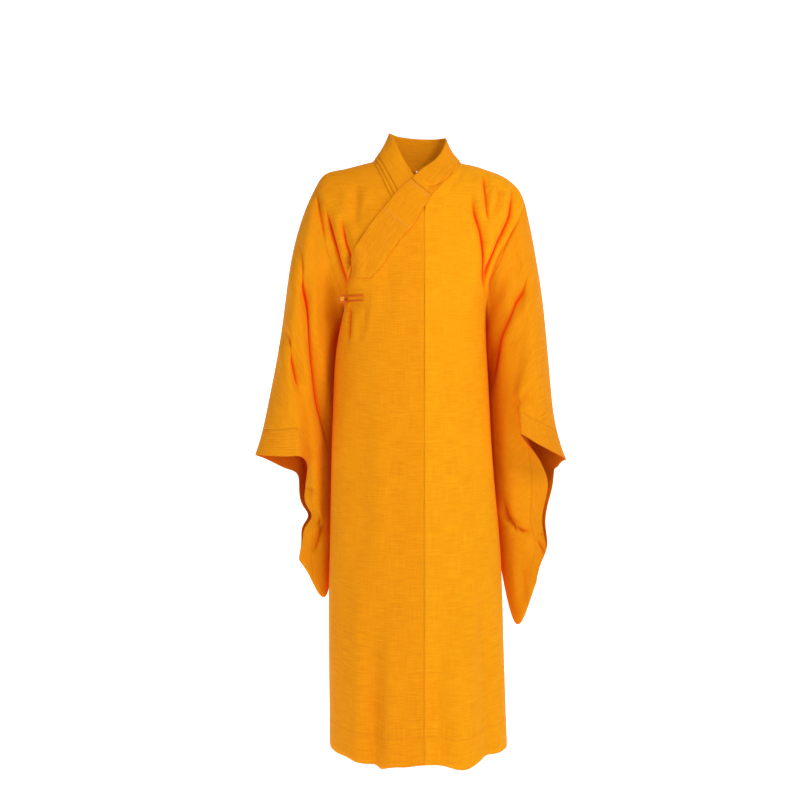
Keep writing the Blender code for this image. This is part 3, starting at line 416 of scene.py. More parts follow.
# Outer and inner edge of the lapel band, from the cross line down to the knotted button, in millimetres
LAPEL_OUTER = metres([
    (-13.5, -28.5), (-37, -49), (-66, -84), (-95, -121), (-120, -158), (-141, -197), (-154, -236)
])
LAPEL_INNER = metres([
    (29.5, -64.5), (10, -98), (-9, -130), (-38, -163), (-58, -192), (-77, -219), (-98, -243)
])
LAPEL_LENGTHS = 20
LAPEL_ROWS = 4

# The knotted button, its stem to the cloth under the overlap, and the cord loop round it
KNOT_CENTRE = Vector((-0.162, -0.064, -0.284))
KNOT_RADIUS = 0.0062
STEM_END = Vector((-0.1555, -0.037, -0.284))
LOOP_CORD_RADIUS = 0.0016
LOOP_TAIL_X = -0.116
LOOP_TAIL_STEPS = 8
LOOP_ROUND_STEPS = 16
LOOP_MOUTH_ANGLE = math.radians(38)
SLOPE_STEP = 0.001

# Finer mesh of the shown cloth
CLOTH_LEVELS = 3
COLLAR_LEVELS = 2
LAPEL_LEVELS = 3
SLEEVE_GAP = 0.0002
CUFF_WIDTH = 0.062
HEM_STEP = 0.004
# Crease depth, in millimetres, at which the painted shade is full
FULL_SHADE_DEPTH = 12.0
EDGE_REACH = 0.012
EDGE_ROWS = 4

# Depth over which the cloth turns from front to back at the body's sides, and the share of the way
# round a sleeve in which its creases fade at its folds
FRONT_REACH = 0.030
SLEEVE_EDGE = 0.08

# The button is one cord woven on a ball
KNOT_CORD_RADIUS = 0.0025
KNOT_SWING = 0.95
KNOT_WEAVE = 0.35
KNOT_WEAVE_START = 0.6
STEM_THICKER = 1.4
KNOT_STEPS = 72

# Linear colours of the cloth: the darker and lighter threads, then single places, some of them painted
# light and painted shade
SAFFRON = ((0.84, 0.262, 0.001, 1.0), (0.94, 0.345, 0.004, 1.0))
# Painted light: a lighter, yellower copy of the saffron for the wearer's left front, as lit through its one
# layer
LIT_SAFFRON = ((0.90, 0.305, 0.001, 1.0), (0.98, 0.400, 0.004, 1.0))
PALE_SLUB = (1.0, 0.50, 0.05, 1.0)
# Painted shade: the deep red laid in creases, between sleeve and body and inside the sleeves
PAINTED_SHADE_SAFFRON = (0.96, 0.060, 0.000, 1.0)
# Painted shade: a darker saffron along the cloth's edges that show, in the stitch grooves and on the loop
SHADED_SAFFRON = (0.78, 0.170, 0.004, 1.0)
KNOT_SHADE = (0.92, 0.300, 0.004, 1.0)
# Painted shade: the loop's darker red, as a cord in shade
CORD_SHADE = (0.80, 0.130, 0.001, 1.0)
PINK_THREAD = (0.96, 0.48, 0.22, 1.0)
ORANGE_THREAD = (0.95, 0.36, 0.02, 1.0)
WEAVE_PITCH = 0.0011
CLOTH_SURFACE = {
    "Roughness": 0.80,
    "Specular IOR Level": 0.08,
    "Sheen Weight": 0.05,
    "Sheen Roughness": 0.45,
    "Sheen Tint": (1.0, 0.62, 0.22, 1.0),
}
CORD_SURFACE = {"Roughness": 0.42, "Specular IOR Level": 0.45}

# Uneven threads of the cut cloth: waves to the metre along u and v, and detail
WEFT = (26.0, 520.0, 2.0)
WARP = (560.0, 20.0, 2.0)
SLUBS = (60.0, 900.0, 1.0)
PATCHES = (9.0, 5.0, 3.0)
WEFT_SHARE = 0.64
WARP_SHARE = 0.36

# Rows of stitches on the cut cloth: way is the map's direction that crosses the rows
Rows = namedtuple("Rows", "way first pitch count start end thread")
STITCH_LENGTH = 0.0042
THREAD_WIDTH = 0.0006
GROOVE_WIDTH = 0.0018
HEM_ROW = Rows("v", HEM_DEPTH, 1.0, 1, -1.0, 9.0, ORANGE_THREAD)
CUFF_ROWS = Rows("v", 0.0035, 0.0062, 10, -1.0, 9.0, ORANGE_THREAD)
LAPEL_EDGE_ROW = Rows("v", 0.0055, 1.0, 1, -1.0, 9.0, ORANGE_THREAD)
LAPEL_ROWS_LONG = Rows("v", 0.0125, 0.0052, 10, 0.089, 0.250, ORANGE_THREAD)
LAPEL_CROSS_ROW = Rows("u", 0.005, 0.084, 2, -1.0, 9.0, PINK_THREAD)
LAPEL_END_ROW = Rows("u", 0.250, 1.0, 1, -1.0, 9.0, PINK_THREAD)

# What each piece was cut from, in metres and square metres, as far as it shows
Cut = namedtuple("Cut", "width length area")

# The stage: a floor below the frame's lower edge that bends up into a wall
FLOOR_Z = -1.47
STAGE_NEAR = -4.5
STAGE_LENGTH = 12.0
STAGE_WIDTH = 14.0
STAGE_BEND = 2.2
STAGE_RISE = 1.2
PAPER_SURFACE = {
    "Base Color": (0.92, 0.92, 0.92, 1.0),
    "Roughness": 0.9,
    "Emission Color": (1.0, 1.0, 1.0, 1.0),
    "Emission Strength": 0.70,
}
WORLD_STRENGTH = 0.17
Lamp = namedtuple("Lamp", "name place aim width height watts colour")
LAMPS = [
    Lamp("key", (1.3, -1.7, 1.25), (0.0, 0.0, -0.35), 0.8, 0.8, 40.0, (1.0, 0.98, 0.95)),
    Lamp("fill", (-2.0, -2.4, 0.5), (0.0, 0.0, -0.5), 1.6, 1.8, 22.0, (1.0, 1.0, 1.0)),
    Lamp("back", (0.6, 2.0, 1.4), (0.0, 0.0, -0.5), 2.0, 1.6, 20.0, (1.0, 1.0, 1.0)),
]


def add_item(name, data):
    """An object in the scene."""
    item = bpy.data.objects.new(name, data)
    bpy.context.scene.collection.objects.link(item)
    return item


def set_inputs(node, values):
    """Sets plain values on a node's sockets."""
    for name, value in values.items():
        node.inputs[name].default_value = value


def named_layer(layers, name):
    return layers.get(name) or layers.new(name)


def flow(keys, values, at, slopes=None):
    """A smooth line through the values at rising keys, read at one key."""
    keys = np.asarray(keys, dtype=float)
    values = np.asarray(values, dtype=float)
    if slopes is None:
        slopes = np.gradient(values, keys, axis=0)
    at = min(max(at, keys[0]), keys[-1])
    low = min(int(np.searchsorted(keys, at, side="right")) - 1, len(keys) - 2)
    width = keys[low + 1] - keys[low]
    t = (at - keys[low]) / width
    start = values[low] * (2 * t**3 - 3 * t**2 + 1) + slopes[low] * width * (t**3 - 2 * t**2 + t)
    end = values[low + 1] * (3 * t**2 - 2 * t**3) + slopes[low + 1] * width * (t**3 - t**2)
    return start + end


def along(points, share):
    """The point at a share of the length of a line through the points that never overshoots."""
    points = np.asarray(points, dtype=float)
    steps = np.linalg.norm(np.diff(points, axis=0), axis=1)
    keys = np.concatenate(([0.0], np.cumsum(steps))) / steps.sum()
    rises = np.diff(points, axis=0) / np.diff(keys)[:, None]
    before, after = rises[:-1], rises[1:]
    same_way = before * after > 0.0
    total = np.where(same_way, before + after, 1.0)
    middle = np.where(same_way, 2.0 * before * after / total, 0.0)
    slopes = np.vstack((rises[:1], middle, rises[-1:]))
    return flow(keys, points, share, slopes)


def closed_line(points, share):
    """The point at a share of a smooth closed line, with the points evenly spread on it."""
    points = np.asarray(points, dtype=float)
    count = len(points)
    place = share * count
    low = int(math.floor(place)) % count
    t = place - math.floor(place)
    before, here, after, beyond = (points[(low + step) % count] for step in (-1, 0, 1, 2))
    start = here * (2 * t**3 - 3 * t**2 + 1) + (after - before) * 0.5 * (t**3 - 2 * t**2 + t)
    end = after * (3 * t**2 - 2 * t**3) + (beyond - here) * 0.5 * (t**3 - t**2)
    return start + end


def ease(value):
    value = min(max(value, 0.0), 1.0)
    return value * value * (3.0 - 2.0 * value)


def body_size(z, face, side, under):
    """Half width and depth of the body's section at a height."""
    row = flow([s.z for s in BODY_SECTIONS], [s[1:] for s in BODY_SECTIONS], z)
    half = row[0] if side > 0 else row[1] - UNDER_SIDE * under
    depth = row[2] if face == FRONT else row[3]
    if face == FRONT:
        depth -= UNDER_FRONT * under
    return half, depth


def shoulder_height(x):
    keys = [s.x for s in SHOULDER_LINE]
    heights = [s.left if x > 0 else s.right for s in SHOULDER_LINE]
    return flow(keys, heights, abs(x))


def surface_y(x, z, face, under=0):
    """Depth of the body's front or back surface above the point (x, z)."""
    half, depth = body_size(z, face, 1 if x > 0 else -1, under)
    across = max(0.0, 1.0 - (abs(x) / half) ** ROUNDNESS) ** (1.0 / ROUNDNESS)
    top = shoulder_height(x)
    drop = min(max((top - z) / (top - UNDERARM_Z), 0.0), 1.0)
    return face * depth * across * math.sqrt(1.0 - (1.0 - drop) ** 2)


def hem_height(angle):
    return HEM_SIDE_Z - HEM_CENTRE_DROP * abs(math.sin(angle)) ** 1.5


def section_angle(x, half):
    """Angle round a section of half width half at which it passes x."""
    return math.acos(math.copysign(min(abs(x) / half, 1.0) ** (ROUNDNESS / 2.0), x))


def section_point(angle, z, face, under):
    c = math.cos(angle)
    s = math.sin(angle)
    half, depth = body_size(z, face, 1 if c > 0 else -1, under)
    x = half * math.copysign(abs(c) ** (2.0 / ROUNDNESS), c)
    return np.array((x, face * depth * abs(s) ** (2.0 / ROUNDNESS), z))


def skirt_point(panel, u, v):
    """A body panel below the underarm: u from the middle to the side, v from the hem up."""
    end = 0.0 if panel.side > 0 else math.pi
    level = HEM_SIDE_Z + (UNDERARM_Z - HEM_SIDE_Z) * v
    half = body_size(level, panel.face, 1 if panel.start_x > 0 else panel.side, panel.under)[0]
    start = section_angle(panel.start_x, half)
    angle = start + (end - start) * u
    z = hem_height(angle) + (UNDERARM_Z - hem_height(angle)) * v
    return section_point(angle, z, panel.face, panel.under)


def patch_point(bottom, top, inner, outer, u, v):
    """A point inside four edges, given the points of the edges at u and v."""
    low = bottom(0.0) * (1 - u) * (1 - v) + bottom(1.0) * u * (1 - v)
    high = top(0.0) * (1 - u) * v + top(1.0) * u * v
    return bottom(u) * (1 - v) + top(u) * v + inner(v) * (1 - u) + outer(v) * u - low - high


def yoke_point(panel, u, w):
    """A body panel above the underarm: w from the underarm level up to the shoulder line."""
    v = math.sin(w * math.pi / 2.0)

    def bottom(share):
        p = skirt_point(panel, share, 1.0)
        return np.array((p[0], p[2]))

    x, z = patch_point(
        bottom,
        lambda share: along(panel.shoulder, share),
        lambda share: along(panel.neck, share),
        lambda share: along(panel.armhole, share),
        u,
        v,
    )
    if u == 0.0 and panel.face == BACK and abs(x) < NECK_SNAP:
        x = 0.0
    y = surface_y(x, z, panel.face, panel.under) if w < 1.0 else 0.0
    if w == 0.0:
        y = skirt_point(panel, u, 1.0)[1]
    if w == 0.0 and u == 1.0:
        y = 0.0
    return np.array((x, y, z))


def body_point(panel, u, v):
    """v from 0 at the hem to 1 at the underarm level and 2 at the shoulder line."""
    return skirt_point(panel, u, v) if v <= 1.0 else yoke_point(panel, u, v - 1.0)


def ring_line(ring, share):
    """A sleeve section: the front layer from the top fold to the low seam, then the back layer."""
    top, flap, tuck, low, heel = (np.array(p) for p in ring)

    def between(a, b, part, y_part):
        p = a + (b - a) * part
        p[1] = a[1] + (b[1] - a[1]) * y_part
        return p

    round_low = np.array((0.0, LOW_FOLD_RADIUS, 0.0))
    points = [
        top,
        between(top, flap, 0.30, 0.80),
        between(top, flap, 0.68, 1.10),
        flap,
        tuck,
        between(tuck, low, 0.50, 0.45),
        low - round_low,
        low + round_low,
        between(low, heel, 0.50, 0.90),
        heel,
        between(heel, top, 0.40, -0.05),
        between(heel, top, 0.80, 0.30),
    ]
    seam = 6.5 / len(points)
    place = share * 2.0 * seam if share <= 0.5 else seam + (share - 0.5) * 2.0 * (1.0 - seam)
    return closed_line(points, place)


def armhole_line(front, back, share):
    """The armhole as the sleeve's first section, read from the edges of the body panels."""
    if share <= 0.5:
        return body_point(front, 1.0, 2.0 - share * 2.0)
    return body_point(back, 1.0, share * 2.0)


def clear_of_body(point):
    """Holds a sleeve's point outside the body's section, from a little below the underarm."""
    x, y, z = point
    side = 1 if x > 0 else -1
    face = FRONT if y < 0 else BACK
    reach = ease((UNDERARM_Z - z) / 0.06)
    if reach <= 0.0:
        return point
    half, depth = body_size(z, face, side, 0)
    edge = half * max(0.0, 1.0 - min(abs(y) / depth, 1.0) ** ROUNDNESS) ** (1.0 / ROUNDNESS)
    nearest = (edge + SLEEVE_CLEARANCE) * reach
    return np.array((side * max(abs(x), nearest), y, z))


def sleeve_lines(sections, front, back, shares):
    """For each share of the way round, the sleeve's points from the armhole to the cuff edge."""
    lines = []
    for share in shares:
        lines.append([armhole_line(front, back, share)] + [ring_line(ring, share) for ring in sections])
    return lines


def sleeve_grid(lines, places):
    """Rows of points round the sleeve at each place, 0 at the armhole and LAST_RING at the edge."""
    columns = []
    for line in lines:
        column = [flow(range(len(line)), line, place) for place in places]
        columns.append([clear_of_body(p) if place > 0 else p for p, place in zip(column, places)])
    return columns


def spread(start, end, steps):
    return [start + (end - start) * step / steps for step in range(steps + 1)]


def add_sheet(cloth, columns, tag, front=None, sleeve=None, start_up=0.0, up_scale=None):
    """Adds a grid with its corners at columns[i][j]. Its map holds the cut cloth, in metres.

    front and sleeve, where given, are read as front(i, j) and sleeve(i, j). They say how far a
    corner is on the front, from -1 to 1, and on a sleeve, from 0 to 1.
    """
    points = np.array(columns, dtype=float)
    across, up = points.shape[0] - 1, points.shape[1] - 1
    widths = np.linalg.norm(np.diff(points, axis=0), axis=2)
    heights = np.linalg.norm(np.diff(points, axis=1), axis=2)
    u_cut = np.vstack((np.zeros((1, up + 1)), np.cumsum(widths, axis=0)))
    v_cut = start_up + np.hstack((np.zeros((across + 1, 1)), np.cumsum(heights, axis=1)))
    if up_scale:
        v_cut *= up_scale / v_cut[:, -1:]
    cut = named_layer(cloth.loops.layers.uv, "UVMap")
    on_front = named_layer(cloth.verts.layers.float, "front")
    on_sleeve = named_layer(cloth.verts.layers.float, "sleeve")
    grid = bmesh.ops.create_grid(cloth, x_segments=across, y_segments=up, size=0.5)
    spots = {}
    for vert in grid["verts"]:
        i = round((vert.co.x + 0.5) * across)
        j = round((vert.co.y + 0.5) * up)
        spots[vert] = (i, j)
        vert.co = Vector(points[i, j])
        vert[on_front] = front(i, j) if front else min(max(-vert.co.y / FRONT_REACH, -1.0), 1.0)
        vert[on_sleeve] = sleeve(i, j) if sleeve else 0.0
    for face in {f for v in grid["verts"] for f in v.link_faces}:
        face.material_index = tag
        face.smooth = True
        for loop in face.loops:
            loop[cut].uv = (u_cut[spots[loop.vert]], v_cut[spots[loop.vert]])


def joined_cloth():
    """The body and both sleeves as one open sheet, each panel's faces tagged."""
    cloth = bmesh.new()
    rows = 2 * SPAN_STEPS * 3
    tags = [panel.name for panel in BODY_PANELS]
    side_length = UNDERARM_Z - HEM_SIDE_Z
    for tag, panel in enumerate(BODY_PANELS):
        shares = spread(0.0, 1.0, ACROSS)
        skirt = [[body_point(panel, u, v) for v in spread(0.0, 1.0, UP_SKIRT)] for u in shares]
        yoke = [[body_point(panel, u, v) for v in spread(1.0, 2.0, rows)] for u in shares]
        add_sheet(cloth, skirt, tag)
        add_sheet(cloth, yoke, tag, start_up=side_length)
    left, back_left, right, back_right = BODY_PANELS
    shares = spread(0.0, 1.0, rows * 2)

    def front(i, j):
        edge = min(shares[i], abs(shares[i] - 0.5), 1.0 - shares[i])
        return math.copysign(ease(edge / SLEEVE_EDGE), 0.5 - shares[i])

    for side, sections, front_panel, back_panel in (
        ("left", SLEEVE_LEFT, left, back_left),
        ("right", SLEEVE_RIGHT, right, back_right),
    ):
        tag = len(tags)
        tags.extend(["sleeve_" + side, "cuff_" + side])
        lines = sleeve_lines(sections, front_panel, back_panel, shares)
        places = spread(0.0, CUFF_RING, CUFF_RING * RING_STEPS)
        arm = sleeve_grid(lines, places)
        band = sleeve_grid(lines, spread(CUFF_RING, LAST_RING, RING_STEPS))
        add_sheet(cloth, arm, tag, front, lambda i, j, p=places: min(p[j], 1.0))
        add_sheet(cloth, band, tag + 1, front, lambda i, j: 1.0, up_scale=CUFF_WIDTH)
    bmesh.ops.remove_doubles(cloth, verts=cloth.verts, dist=SAME_POINT)
    soften(cloth, len(BODY_PANELS))
    return cloth, tags


def rounded(rough, levels):
    """A rough sheet with smooth rows of faces added between its own."""
    mesh = bpy.data.meshes.new("rough cloth")
    rough.to_mesh(mesh)
    item = add_item("rough cloth", mesh)
    rounding = item.modifiers.new("rounding", "SUBSURF")
    rounding.levels = levels
    rounding.render_levels = levels
    rounding.boundary_smooth = "PRESERVE_CORNERS"
    sheet = bmesh.new()
    sheet.from_object(item, bpy.context.evaluated_depsgraph_get())
    bpy.data.objects.remove(item)
    bpy.data.meshes.remove(mesh)
    sheet.normal_update()
    return sheet


def line_points(path, step):
    """A smooth line through a path's points, in short steps."""
    length = sum(math.dist(a, b) for a, b in zip(path, path[1:]))
    return np.array([along(path, share) for share in spread(0.0, 1.0, max(4, round(length / step)))])


def beside_line(line, spots):
    """How far each spot is from a line, on which side, and how far inside the line's ends."""
    ways = np.diff(line, axis=0)
    lengths = np.linalg.norm(ways, axis=1)
    walked = np.concatenate(([0.0], np.cumsum(lengths)))
    gap = np.full(len(spots), 1e9)
    side = np.zeros(len(spots))
    inside = np.zeros(len(spots))
    for start, way, length, before in zip(line, ways, lengths, walked):
        off = spots - start
        share = np.clip(off @ way / length**2, 0.0, 1.0)
        apart = off - share[:, None] * way
        far = np.hypot(apart[:, 0], apart[:, 1])
        nearer = far < gap
        gap[nearer] = far[nearer]
        side[nearer] = np.sign(way[0] * apart[nearer, 1] - way[1] * apart[nearer, 0])
        place = before + share[nearer] * length
        inside[nearer] = np.minimum(place, walked[-1] - place)
    return gap, side, inside


def eased(values):
    values = np.clip(values, 0.0, 1.0)
    return values * values * (3.0 - 2.0 * values)


def seen_places(places):
    """Where points show from the front, on the plane of the side seams."""
    scale = -CAMERA_PLACE.y / (places[:, 1] - CAMERA_PLACE.y)
    across = CAMERA_PLACE.x + (places[:, 0] - CAMERA_PLACE.x) * scale
    height = CAMERA_PLACE.z + (places[:, 2] - CAMERA_PLACE.z) * scale
    return np.stack((across, height), axis=1)


def crease_heights(places, front, sleeve):
    """How far the creases raise or sink each point, and how much painted shade it gets in a crease."""
    height = np.zeros(len(places))
    depth = np.zeros(len(places))
    spots = {FRONT: seen_places(places) * 1000.0, BACK: places[:, [0, 2]] * 1000.0}
    share = {"body": 1.0 - sleeve, "sleeve": sleeve, "both": np.ones(len(places))}
    for crease in CREASES:
        line = line_points(crease.path, CREASE_STEP)
        reach = CREASE_REACH * crease.width
        spot = spots[crease.face]
        facing = -crease.face * front
        near = np.all((spot > line.min(axis=0) - reach) & (spot < line.max(axis=0) + reach), axis=1)
        near &= (facing > 0.0) & (share[crease.cloth] > 0.0)
        if not near.any():
            continue
        gap, side, inside = beside_line(line, spot[near])
        gap_side = gap * side
        trough = crease.depth * np.exp(-((gap / crease.width) ** 2))
        core = crease.core * np.exp(-((gap / CORE_WIDTH) ** 2))
        away, wide = BAND_AWAY * crease.width, BAND_WIDTH * crease.width
        left = crease.left * np.exp(-(((gap_side - away) / wide) ** 2))
        right = crease.right * np.exp(-(((gap_side + away) / wide) ** 2))
        taper = max(LEAST_TAPER * crease.width, TAPER * CREASE_STEP * (len(line) - 1))
        fade = eased(inside / taper) * eased(facing[near]) * share[crease.cloth][near]
        height[near] += fade * (left + right - trough - core)
        # The crease's painted shade, for the colour
        depth[near] += fade * (trough * TROUGH_SHADE + core * CORE_SHADE)
    return height / 1000.0, np.clip(depth / FULL_SHADE_DEPTH, 0.0, 1.0)


def skirt_heights(places, front):
    """How far the skirt's large folds move each point straight out."""
    height = np.zeros(len(places))
    spot = places[:, [0, 2]]
    for fold in SKIRT_FOLDS:
        gap, _, inside = beside_line(line_points(fold.path, CREASE_STEP / 1000.0), spot)
        to_top = np.hypot(spot[:, 0] - fold.path[0][0], spot[:, 1] - fold.path[0][1])
        fade = np.where(spot[:, 1] < fold.path[1][1], 1.0, eased(np.minimum(to_top, inside) / FOLD_FADE))
        height -= fold.depth * fade * np.exp(-((gap / fold.width) ** 2)) * eased(-fold.face * front)
    return height


def wave_height(place):
    """The small unevenness of hanging cloth, longer down than across."""
    x, y, z = place
    height = 0.0
    for wave in WAVES:
        spot = Vector((x * wave.across, y * wave.across, z * wave.down + wave.start))
        height += noise.noise(spot) * wave.height
    return height


def side_shade(places, sleeve):
    """Painted shade where a sleeve and the body's side face each other closely, and round the body's side
    line.
    """
    heights = [row.z for row in BODY_SECTIONS]
    left = np.interp(places[:, 2], heights, [row.left for row in BODY_SECTIONS])
    right = np.interp(places[:, 2], heights, [row.right for row in BODY_SECTIONS])
    beyond = np.abs(places[:, 0]) - np.where(places[:, 0] > 0.0, left, right)
    below = eased((UNDERARM_Z - places[:, 2]) / SIDE_START)
    on_sleeve = eased(1.0 - beyond / SIDE_REACH) * sleeve * SIDE_SHADE_STRENGTH
    hidden = eased((places[:, 2] - SIDE_END) / SIDE_FADE) * (1.0 - sleeve)
    near_side = eased(1.0 - np.abs(places[:, 1] - SIDE_LINE_Y) / SIDE_WIDTH)
    on_body = near_side * hidden * SIDE_SHADE_STRENGTH * BODY_SHARE
    return (on_sleeve + on_body) * below


def sleeve_shifts(places, sleeve):
    """How far a hanging sleeve's free side moves in or out at each height."""
    moved = np.zeros(len(places))
    for shift in SLEEVE_SHIFTS:
        own = shift.side * places[:, 0]
        share = eased((own - shift.start) / SHIFT_REACH) * sleeve
        moved += shift.side * shift.out * share * np.exp(-(((places[:, 2] - shift.z) / shift.height) ** 2))
    return moved


def hem_drops(places, front):
    """How far each point hangs lower for the dips of the hem."""
    drop = np.zeros(len(places))
    share = eased(1.0 - (places[:, 2] - HEM_SIDE_Z) / DIP_REACH)
    for dip in HEM_DIPS:
        shape = np.exp(-(((places[:, 0] - dip.x) / dip.width) ** 2))
        drop += dip.drop * share * shape * eased(-dip.face * front)
    return drop


def crease_cloth(sheet, skirt=True):
    """Moves a sheet's points along its normals by every fold and crease, and marks the painted shade of the
    creases and beside the sleeves.
    """
    layers = sheet.verts.layers.float
    front, sleeve = (np.array([v[layers[name]] for v in sheet.verts]) for name in ("front", "sleeve"))
    places = np.array([v.co[:] for v in sheet.verts])
    ways = np.array([v.normal[:] for v in sheet.verts])
    height, depth = crease_heights(places, front, sleeve)
    if skirt:
        height += skirt_heights(places, front) * (1.0 - sleeve)
        drops = hem_drops(places, front) * (1.0 - sleeve)
    height += np.array([wave_height(place) for place in places])
    moved = places + ways * height[:, None]
    if skirt:
        moved[:, 0] += sleeve_shifts(places, sleeve)
        moved[:, 2] -= drops
        # Painted shade where the sleeves hang close beside the body
        depth = np.maximum(depth, side_shade(places, sleeve))
    painted_shade = named_layer(layers, "painted_shade")
    # Each point keeps its painted shade for the colour
    for vert, place, mark in zip(sheet.verts, moved, depth):
        vert.co = place
        vert[painted_shade] = mark
    sheet.normal_update()


def soften(cloth, first_sleeve_tag):
    """Eases the sleeves' sharpest turns and the armhole seams, as cloth that bends does."""
    sleeve = {v for f in cloth.faces if f.material_index >= first_sleeve_tag for v in f.verts}
    inside = [v for v in sleeve if not v.is_boundary]
    every_way = {"use_axis_x": True, "use_axis_y": True, "use_axis_z": True}
    for _ in range(SOFTEN_PASSES):
        bmesh.ops.smooth_vert(cloth, verts=inside, factor=0.5, **every_way)


def face_outwards(sheet, probe):
    """Turns an open sheet so that the face nearest the probe looks away from the Z axis."""
    bmesh.ops.recalc_face_normals(sheet, faces=sheet.faces)
    nearest = min(sheet.faces, key=lambda f: (f.calc_center_median() - probe).length)
    if nearest.normal.dot(Vector((probe.x, probe.y, 0.0))) < 0:
        bmesh.ops.reverse_faces(sheet, faces=sheet.faces)
    sheet.normal_update()


def mark_normals(sheet):
    """Keeps each point's direction out of the cloth, so that sewn panels share it."""
    layer = sheet.verts.layers.float_vector.new("out")
    for vert in sheet.verts:
        vert[layer] = vert.normal


def draw_in_edges(sheet, gap):
    """Moves an open sheet's edges inwards by half the gap between sewn pieces."""
    inward = {}
    for edge in sheet.edges:
        if not edge.is_boundary:
            continue
        face = edge.link_faces[0]
        first, second = edge.verts
        across = (second.co - first.co).cross(face.normal).normalized()
        if across.dot(face.calc_center_median() - first.co) < 0:
            across.negate()
        for vert in edge.verts:
            inward.setdefault(vert, []).append(across)
    for vert, ways in inward.items():
        total = ways[0] + ways[-1]
        facing = 1.0 + ways[0].dot(ways[-1]) if len(ways) > 1 else 2.0
        vert.co += total * (gap / 2.0) / max(facing, 0.5)


def mark_seams(cloth):
    """Marks the seams between the pieces of the joined cloth, which hardly show."""
    layer = cloth.verts.layers.float.new("seam")
    for vert in cloth.verts:
        vert[layer] = float(len({face.material_index for face in vert.link_faces}) > 1)


def plain_seam(place):
    """Seams of laid-on pieces that hardly show: the centre front, and the collar's run into the lapel."""
    if abs(place.x - CENTRE_FRONT_X) < 0.004 and place.y < -0.05:
        return True
    start, end = (Vector(line[0]) for line in (LAPEL_OUTER, LAPEL_INNER))
    way = (end - start).normalized()
    off = Vector((place.x, place.z)) - start
    return place.y < 0.0 and abs(off.x * way.y - off.y * way.x) < 0.0015


def mark_edges(sheet):
    """Marks how far every point is from the sheet's nearest edge that shows, up to EDGE_REACH."""
    layer = sheet.verts.layers.float.new("edge")
    seam = sheet.verts.layers.float.get("seam")
    rim = [v for v in sheet.verts if v.is_boundary and not plain_seam(v.co) and not (seam and v[seam])]
    near = dict.fromkeys(rim, 0.0)
    ring = rim
    for _ in range(EDGE_ROWS):
        beyond = {}
        for vert in ring:
            for edge in vert.link_edges:
                other = edge.other_vert(vert)
                far = near[vert] + edge.calc_length()
                if other not in near:
                    beyond[other] = min(beyond.get(other, EDGE_REACH), far)
        near.update(beyond)
        ring = list(beyond)
    for vert in sheet.verts:
        vert[layer] = min(near.get(vert, EDGE_REACH), EDGE_REACH)


def make_wall(sheet, thickness_at, offset=0.0, inside_shade=0.0):
    """Turns an open sheet into a closed wall, centred on the sheet moved out by the offset."""
    layer = sheet.verts.layers.float_vector["out"]
    painted_shade = sheet.verts.layers.float["painted_shade"]
    grown = bmesh.ops.extrude_face_region(sheet, geom=sheet.faces[:], use_keep_orig=True)
    outer = {v for v in grown["geom"] if isinstance(v, bmesh.types.BMVert)}
    for vert in sheet.verts:
        half = thickness_at(vert.co) / 2.0
        vert.co += Vector(vert[layer]) * (offset + (half if vert in outer else -half))
        # The inner face gets at least this much painted shade
        if vert not in outer:
            vert[painted_shade] = max(vert[painted_shade], inside_shade)
    bmesh.ops.recalc_face_normals(sheet, faces=sheet.faces)


def body_thickness(point):
    middle = abs(point.y) / 0.12
    hem_line = HEM_SIDE_Z - HEM_CENTRE_DROP * min(middle, 1.0) ** 1.5 + HEM_DEPTH
    return CLOTH + (HEM_CLOTH - CLOTH) * ease((hem_line - point.z) / HEM_STEP)


def add_piece(name, mesh, material):
    """A piece of the robe: it stays with the only body and has the only slot."""
    mesh.materials.append(material)
    piece = add_item(name, mesh)
    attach(piece, "root")
    return piece


def finish_piece(node, sheet, material):
    """Makes the wall an object in the place of its solid."""
    mesh = bpy.data.meshes.new(node + "_cloth")
    for face in sheet.faces:
        face.material_index = 0
        face.smooth = True
    sheet.to_mesh(mesh)
    sheet.free()
    piece = add_piece(node + "_cloth", mesh, material)
    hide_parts(node)


def creased_sheet(rough, probe, levels, skirt=True):
    """The fine, creased sheet on a rough one, which is used up."""
    face_outwards(rough, Vector(probe))
    sheet = rounded(rough, levels)
    rough.free()
    crease_cloth(sheet, skirt)
    mark_normals(sheet)
    return sheet


def add_cut_piece(node, sheet, material, thickness_at, offset=0.0, inside_shade=0.0, gap=DRAWN_GAP):
    """Makes one open sheet the piece that stands for its solid."""
    draw_in_edges(sheet, gap)
    mark_edges(sheet)
    make_wall(sheet, thickness_at, offset, inside_shade)
    finish_piece(node, sheet, material)


def keep_faces(sheet, kept):
    """Deletes the faces whose tags aren't kept."""
    others = [face for face in sheet.faces if not kept(face.material_index)]
    bmesh.ops.delete(sheet, geom=others, context="FACES")


def add_body_and_sleeves(materials):
    rough, tags = joined_cloth()
    cloth = creased_sheet(rough, (0.08, -0.11, -0.6), CLOTH_LEVELS)
    mark_seams(cloth)
    for tag, name in enumerate(tags):
        panel = cloth.copy()
        keep_faces(panel, lambda own, tag=tag: own == tag)
        # The sleeves' inner faces get painted shade
        inside_shade = 0.0 if tag < len(BODY_PANELS) else INSIDE_SHADE
        gap = SLEEVE_GAP if name.startswith("sleeve") else DRAWN_GAP
        add_cut_piece(name, panel, materials[name], body_thickness, inside_shade=inside_shade, gap=gap)
    cloth.free()


